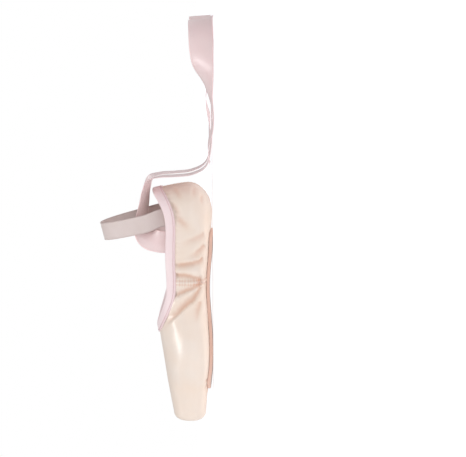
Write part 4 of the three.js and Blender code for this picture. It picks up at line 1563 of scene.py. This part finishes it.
def stitch_row(
    name: str,
    lines: list[np.ndarray],
    ups: list[np.ndarray],
    spacing: float,
    length: float,
    radius: float,
    closed: bool = False,
) -> bpy.types.Object:
    """Makes rows of single thread stitches that dip into the cloth at both ends.

    Args:
        name: The piece's name.
        lines: One line of points for each row, in millimetres.
        ups: The direction away from the cloth at each point.
        spacing: Distance between stitches.
        length: Length of one stitch.
        radius: Half the thread's thickness.
        closed: Whether the lines join up.

    Returns:
        The piece.
    """
    points, faces = [], []
    shape = np.linspace(-1, 1, 7)
    for line, up in zip(lines, ups):
        whole = np.vstack([line, line[:1]]) if closed else line
        lift = np.vstack([up, up[:1]]) if closed else up
        travel = np.concatenate([[0], np.cumsum(np.linalg.norm(np.diff(whole, axis=0), axis=1))])
        for middle in np.arange(spacing / 2, travel[-1] - spacing / 2, spacing):
            places = np.clip(middle + shape * length / 2, 0, travel[-1])
            centre = np.column_stack([np.interp(places, travel, whole[:, axis]) for axis in range(3)])
            away = unit(np.column_stack([np.interp(places, travel, lift[:, axis]) for axis in range(3)]))
            ahead = unit(np.gradient(centre, axis=0))
            side = unit(np.cross(ahead, away))
            centre = centre + away * (radius * (1.3 - 2.2 * shape[:, None] ** 4))
            thick = radius * np.sqrt(np.maximum(1.05 - shape**4, 0.05))
            start = sum(len(block) for block in points)
            turns = np.linspace(0, 2 * math.pi, 6, endpoint=False)
            ring = [
                centre + (side * math.cos(turn) + away * math.sin(turn)) * thick[:, None] for turn in turns
            ]
            points.append(np.stack(ring, axis=1).reshape(-1, 3))
            faces.append(loop_faces(len(shape), 6) + start)
    return make_piece(name, np.vstack(points), np.vstack(faces), uv=np.vstack(points)[:, :2] * MM)


class Trail(Enum):
    """The two ribbons' ways on the floor, with the side that each leaves the collar on."""

    LEFT = (1.0, LEFT_TRAIL)
    RIGHT = (-1.0, RIGHT_TRAIL)


@dataclass
class Band:
    """A flat woven band: its width, its thickness and how many points lie across it."""

    width: float
    thickness: float
    across: int

    def build(self, name: str, centre: np.ndarray, side: np.ndarray, ripple: float) -> bpy.types.Object:
        """Makes the band along a path.

        Args:
            name: The piece's name.
            centre: Points along its middle.
            side: The direction of its width at each point.
            ripple: Height of its soft curl.

        Returns:
            The piece.
        """
        ahead = unit(np.gradient(centre, axis=0))
        side = unit(side - ahead * np.sum(side * ahead, axis=1, keepdims=True))
        up = unit(np.cross(side, ahead))
        travel = np.concatenate([[0], np.cumsum(np.linalg.norm(np.diff(centre, axis=0), axis=1))])
        body = np.linspace(-0.6, 0.6, self.across - 6)
        shares = np.concatenate([[-1, -0.91, -0.88], body, [0.88, 0.91, 1]])
        profile = [(share, 1.0) for share in shares] + [(share, -1.0) for share in shares[::-1]]
        curl = ripple * np.sin(travel * 0.045) * soft_step(0, 60, travel)
        rings = []
        hems = []
        for share, face in profile:
            hem = 1.0 if abs(share) > 0.9 else 0.0
            thick = self.thickness / 2 * (0.75 if hem == 0 else 1.0)
            lift = face * thick + curl * (share**2 - 0.35)
            rings.append(centre + side * (share * self.width / 2) + up * np.reshape(lift, (-1, 1)))
            hems.append(np.full(len(centre), hem))
        grid = np.stack(rings, axis=1)
        columns = len(profile)
        uv = np.column_stack(
            [
                np.tile([share * self.width / 2 for share, _ in profile], len(centre)),
                np.repeat(travel, columns),
            ]
        )
        hem = np.stack(hems, axis=1).ravel()
        masks = {"hem": hem, "crease": 0.25 * hem}
        faces = loop_faces(len(centre), columns)
        piece = make_piece(name, grid.reshape(-1, 3), faces, masks, uv * MM)
        close_ends(piece)
        return piece


def close_ends(piece: bpy.types.Object) -> None:
    """Fills the open ends of a band."""
    working = bmesh.new()
    working.from_mesh(piece.data)
    rims = [edge for edge in working.edges if edge.is_boundary]
    bmesh.ops.holes_fill(working, edges=rims, sides=0)
    working.to_mesh(piece.data)
    working.free()


class Hangings:
    """The elastic loop and the two ribbons, whose ends run down inside the wall where they are sewn."""

    stitched_depth = 13.0
    binding = 0.7
    slack = 0.75
    ribbon_body = 0.42

    def __init__(self, last: Last, surfaces: Surfaces) -> None:
        """Keeps the form that they are sewn to."""
        self.last = last
        self.surfaces = surfaces

    def lining_tree(self, thickness: float) -> BVHTree:
        """The surface inside the wall on which a band of some thickness lies."""
        return self.surfaces.tree(2 * CLEARANCE + self.binding + thickness / 2 + self.slack, True)

    def wall_station(self, tree: BVHTree, x: float, z: float, width: float) -> tuple[np.ndarray, np.ndarray]:
        """The middle of a band against the wall, and the direction of its width."""
        ray = np.array([0.0, 1.0, 0.0])
        front = cast(tree, np.array([x + width / 2, 0.0, z]), ray)
        rear = cast(tree, np.array([x - width / 2, 0.0, z]), ray)
        return (front + rear) / 2, unit(front - rear)

    def rim_level(self, x: float, width: float) -> float:
        """The level at which a band is clear of the binding's top."""
        heights = self.last.collar_height(np.array([x - width / 2, x + width / 2]))
        return float(heights.max()) + self.binding + CLEARANCE

    def even_path(
        self, centres: np.ndarray, sides: np.ndarray, length: float, steps: int
    ) -> tuple[np.ndarray, ...]:
        """Evenly spaced stations of a path, up to a length.

        Args:
            centres: Points that the path passes.
            sides: The direction of the band's width at each.
            length: The band's length, or 0 for the whole path.
            steps: How many steps.

        Returns:
            Points and directions.
        """
        places = np.linspace(0, len(centres) - 1, 80 * (len(centres) - 1) + 1)
        line = path_through(centres, places)
        travel = np.concatenate([[0], np.cumsum(np.linalg.norm(np.diff(line, axis=0), axis=1))])
        wanted = np.linspace(0, min(length or travel[-1], travel[-1]), steps + 1)
        spots = np.interp(wanted, travel, places)
        return path_through(centres, spots), path_through(sides, spots)

    def elastic(self) -> tuple[bpy.types.Object, float]:
        """Makes the elastic loop, and gives its length."""
        station, width, thickness, rise, span = 30.0, 16.0, 0.9, 60.0, 55.0
        lean = math.radians(14)
        tree = self.lining_tree(thickness)
        base = float(self.last.collar_height(np.array([station]))[0])
        low, low_side = self.wall_station(tree, station, base - self.stitched_depth, width)
        high, high_side = self.wall_station(tree, station, self.rim_level(station, width), width)
        centres, sides = [low, high], [low_side, high_side]
        over = np.array([math.cos(lean), 0.0, -math.sin(lean)])
        for step in range(1, 7):
            turn = math.pi / 2 * step / 6
            height = rise * math.sin(turn) ** 0.87
            aside = span / 2 * abs(math.cos(turn)) ** 0.87
            forward, up = station + height * math.sin(lean), base + height * math.cos(lean)
            centres.append(np.array([forward, aside, up]))
            share = min(1.0, step / 3)
            sides.append(high_side * (1 - share) + over * share)
        mirror = np.array([1.0, -1.0, 1.0])
        centres += [point * mirror for point in centres[-2::-1]]
        sides += [side * mirror for side in sides[-2::-1]]
        centre, side = self.even_path(np.array(centres), np.array(sides), 0.0, 150)
        length = float(np.linalg.norm(np.diff(centre, axis=0), axis=1).sum())
        return Band(width, thickness, 13).build("elastic_loop", centre, side, 0.0), length

    def ribbon(self, name: str, trail: Trail) -> tuple[bpy.types.Object, float]:
        """Makes one ribbon, and gives its length."""
        sign, lying = trail.value
        station, width, thickness, length = 52.0, 20.0, 0.6, 450.0
        tree = self.lining_tree(thickness)
        base = float(self.last.collar_height(np.array([station]))[0])
        centres, sides = [], []
        for level in (base - self.stitched_depth, self.rim_level(station, width)):
            centre, side = self.wall_station(tree, station, level, width)
            centres.append(centre)
            sides.append(side)
        floor = CLEARANCE + thickness
        for row in RIBBON_RISE:
            centres.append(np.array(row[:3]) * [SHOE_LENGTH, HALF_BALL, HEEL_HEIGHT] + [0, 0, floor])
            sides.append(unit(np.array(row[3:], dtype=float)))
        path = np.array([row[:3] for row in lying]) * [SHOE_LENGTH, HALF_BALL, 1] + [0, 0, floor]
        for index, tilt in enumerate(math.radians(row[3]) for row in lying):
            ahead = path[min(index + 1, len(path) - 1)] - path[max(index - 1, 0)]
            ahead = unit(ahead * [1, 1, 0])
            level = np.array([ahead[1], -ahead[0], 0.0]) * math.cos(tilt)
            centres.append(path[index] + [0, 0, width / 2 * math.sin(tilt)])
            sides.append(level + [0, 0, math.sin(tilt)])
        centre, side = self.even_path(np.array(centres), np.array(sides), length, 460)
        mirror = np.array([1.0, sign, 1.0])
        real = float(np.linalg.norm(np.diff(centre, axis=0), axis=1).sum())
        return Band(width, self.ribbon_body, 11).build(name, centre * mirror, side * mirror, 0.35), real


class SideStitching:
    """Rows of stitches beside the side seams."""

    offset = 0.85

    def build(self, surfaces: Surfaces) -> bpy.types.Object:
        """Makes the stitches of both side seams."""
        lines, ups = [], []
        for sign in (1.0, -1.0):
            for shift in (-self.offset, self.offset):
                x = SIDE_SEAM + shift
                line, up = [], []
                for z in np.linspace(8.0, SIDE_HEIGHT - 8.5, 40):
                    origin, inward = Vector((x, sign * 60, z)), Vector((0, -sign, 0))
                    hit, normal, _, _ = surfaces.outside.ray_cast(origin, inward)
                    if hit is None:
                        continue
                    away = np.array(normal) * (1 if normal[1] * sign > 0 else -1)
                    line.append(np.array(hit) + away * 0.5)
                    up.append(away)
                lines.append(np.array(line))
                ups.append(np.array(up))
        return stitch_row("side_seam_stitches", lines, ups, 2.3, 1.6, 0.16)


@dataclass
class Studio:
    """The camera at the photograph's angle, the pale floor and soft lights."""

    azimuth: float = 192.0
    distance: float = 1.2
    lens: float = 100.0
    sensor: float = 36.0
    width: int = 466
    height: int = 457
    tip_pixel: tuple[float, float] = (213.0, 417.0)
    camera_height: float = 0.016
    floor_half: float = 6000.0

    def camera(self) -> None:
        """Places the camera so that the sole's toe end lies at its place in the frame."""
        data = bpy.data.cameras.new("camera")
        data.lens = self.lens
        data.sensor_width = self.sensor
        data.clip_start = 0.01
        data.clip_end = 60.0
        camera = bpy.data.objects.new("camera", data)
        bpy.context.scene.collection.objects.link(camera)
        bpy.context.scene.camera = camera
        turn = math.radians(self.azimuth)
        away = Vector((math.sin(turn), -math.cos(turn), 0.0))
        middle = Vector(((SHOE_LENGTH / 2 - BALL_STATION) * MM, 0.0, self.camera_height))
        place = middle + away * self.distance
        scale = self.distance * self.sensor / (self.lens * self.width)
        tip = Vector(((SHOE_LENGTH - BALL_STATION) * MM, 0.0, 0.0))
        across = (self.tip_pixel[0] - self.width / 2) * scale
        below = (self.tip_pixel[1] - self.height / 2) * scale
        back = away.copy()
        for _ in range(6):
            up = Vector((-1.0, 0.0, 0.0))
            up = (up - back * up.dot(back)).normalized()
            right = up.cross(back)
            back = (place - tip + right * across - up * below).normalized()
        camera.matrix_world = Matrix.Translation(place) @ Matrix((right, up, back)).transposed().to_4x4()

    def lights(self) -> None:
        """Places three soft lights."""
        soft = (
            ("key", (0.15, 0.6, 0.95), 0.4, 5.0),
            ("fill", (0.7, 1.0, 0.3), 0.8, 0.6),
            ("rim", (-0.6, -0.8, 0.7), 0.5, 2.2),
        )
        for name, place, size, power in soft:
            data = bpy.data.lights.new(name, "AREA")
            data.shape = "DISK"
            data.size = size
            data.energy = power
            lamp = bpy.data.objects.new(name, data)
            bpy.context.scene.collection.objects.link(lamp)
            lamp.location = place
            aim = Vector((0.0, 0.0, 0.02)) - Vector(place)
            lamp.rotation_euler = aim.to_track_quat("-Z", "Y").to_euler()

    def surround(self) -> None:
        """Makes a white surround for the camera and a softer one for the light."""
        world = bpy.data.worlds.new("surround")
        world.use_nodes = True
        bpy.context.scene.world = world
        wire = Wiring(world.node_tree)
        world.node_tree.nodes.clear()
        seen = wire.node("ShaderNodeBackground", {"Color": (1.0, 1.0, 1.0, 1.0), "Strength": 1.0})
        given = wire.node("ShaderNodeBackground", {"Color": (0.97, 0.98, 1.0, 1.0), "Strength": 0.44})
        ray = wire.node("ShaderNodeLightPath").outputs["Is Camera Ray"]
        both = wire.node("ShaderNodeMixShader", {0: ray, 1: given.outputs[0], 2: seen.outputs[0]})
        wire.node("ShaderNodeOutputWorld", {"Surface": both.outputs[0]})
        bpy.context.scene.view_settings.view_transform = "Standard"

    def floor(self, effects: Effects) -> None:
        """Lays the floor."""
        corners = ((-1, -1), (1, -1), (1, 1), (-1, 1))
        points = np.array([[x * self.floor_half, y * self.floor_half, -0.02] for x, y in corners])
        plane = make_piece("studio_floor", points, np.array([[0, 1, 2, 3]]))
        plane.data.materials.append(StudioFloor().build(effects))


def main() -> None:
    """Builds the camera, the shoe and the studio in order."""
    logging.basicConfig(level=logging.INFO, format="%(name)s %(message)s")
    studio = Studio()
    studio.camera()
    effects = Effects()
    last = Last()
    surfaces = Surfaces(last)
    outsole = Outsole()
    upper = Upper()
    satin = SATIN.build(effects)
    thread = THREAD.build(effects)
    settle(upper.build(last, outsole), "satin", satin, "upper")
    settle(upper.build_lining(last), "satin", LINING.build(effects))
    settle(outsole.build(surfaces), "outsole_leather", Suede().build(effects), "outsole")
    settle(Insole().build(surfaces), "insole_board", BOARD.build(effects), "insole")
    tape, stitches = CollarBinding().build(last, surfaces)
    settle(tape, "binding", BINDING.build(effects), "collar_binding")
    settle(stitches, "binding", thread)
    settle(SideStitching().build(surfaces), "satin", thread)
    hangings = Hangings(last, surfaces)
    elastic, length = hangings.elastic()
    settle(elastic, "elastic", ELASTIC.build(effects), "elastic_strap")
    ribbon_finish = RIBBON.build(effects)
    for node, trail in (("ribbon_left", Trail.LEFT), ("ribbon_right", Trail.RIGHT)):
        ribbon, length = hangings.ribbon(node + "_satin", trail)
        settle(ribbon, "ribbon", ribbon_finish, node)
    studio.floor(effects)
    studio.lights()
    studio.surround()


if __name__ == "__main__":
    main()
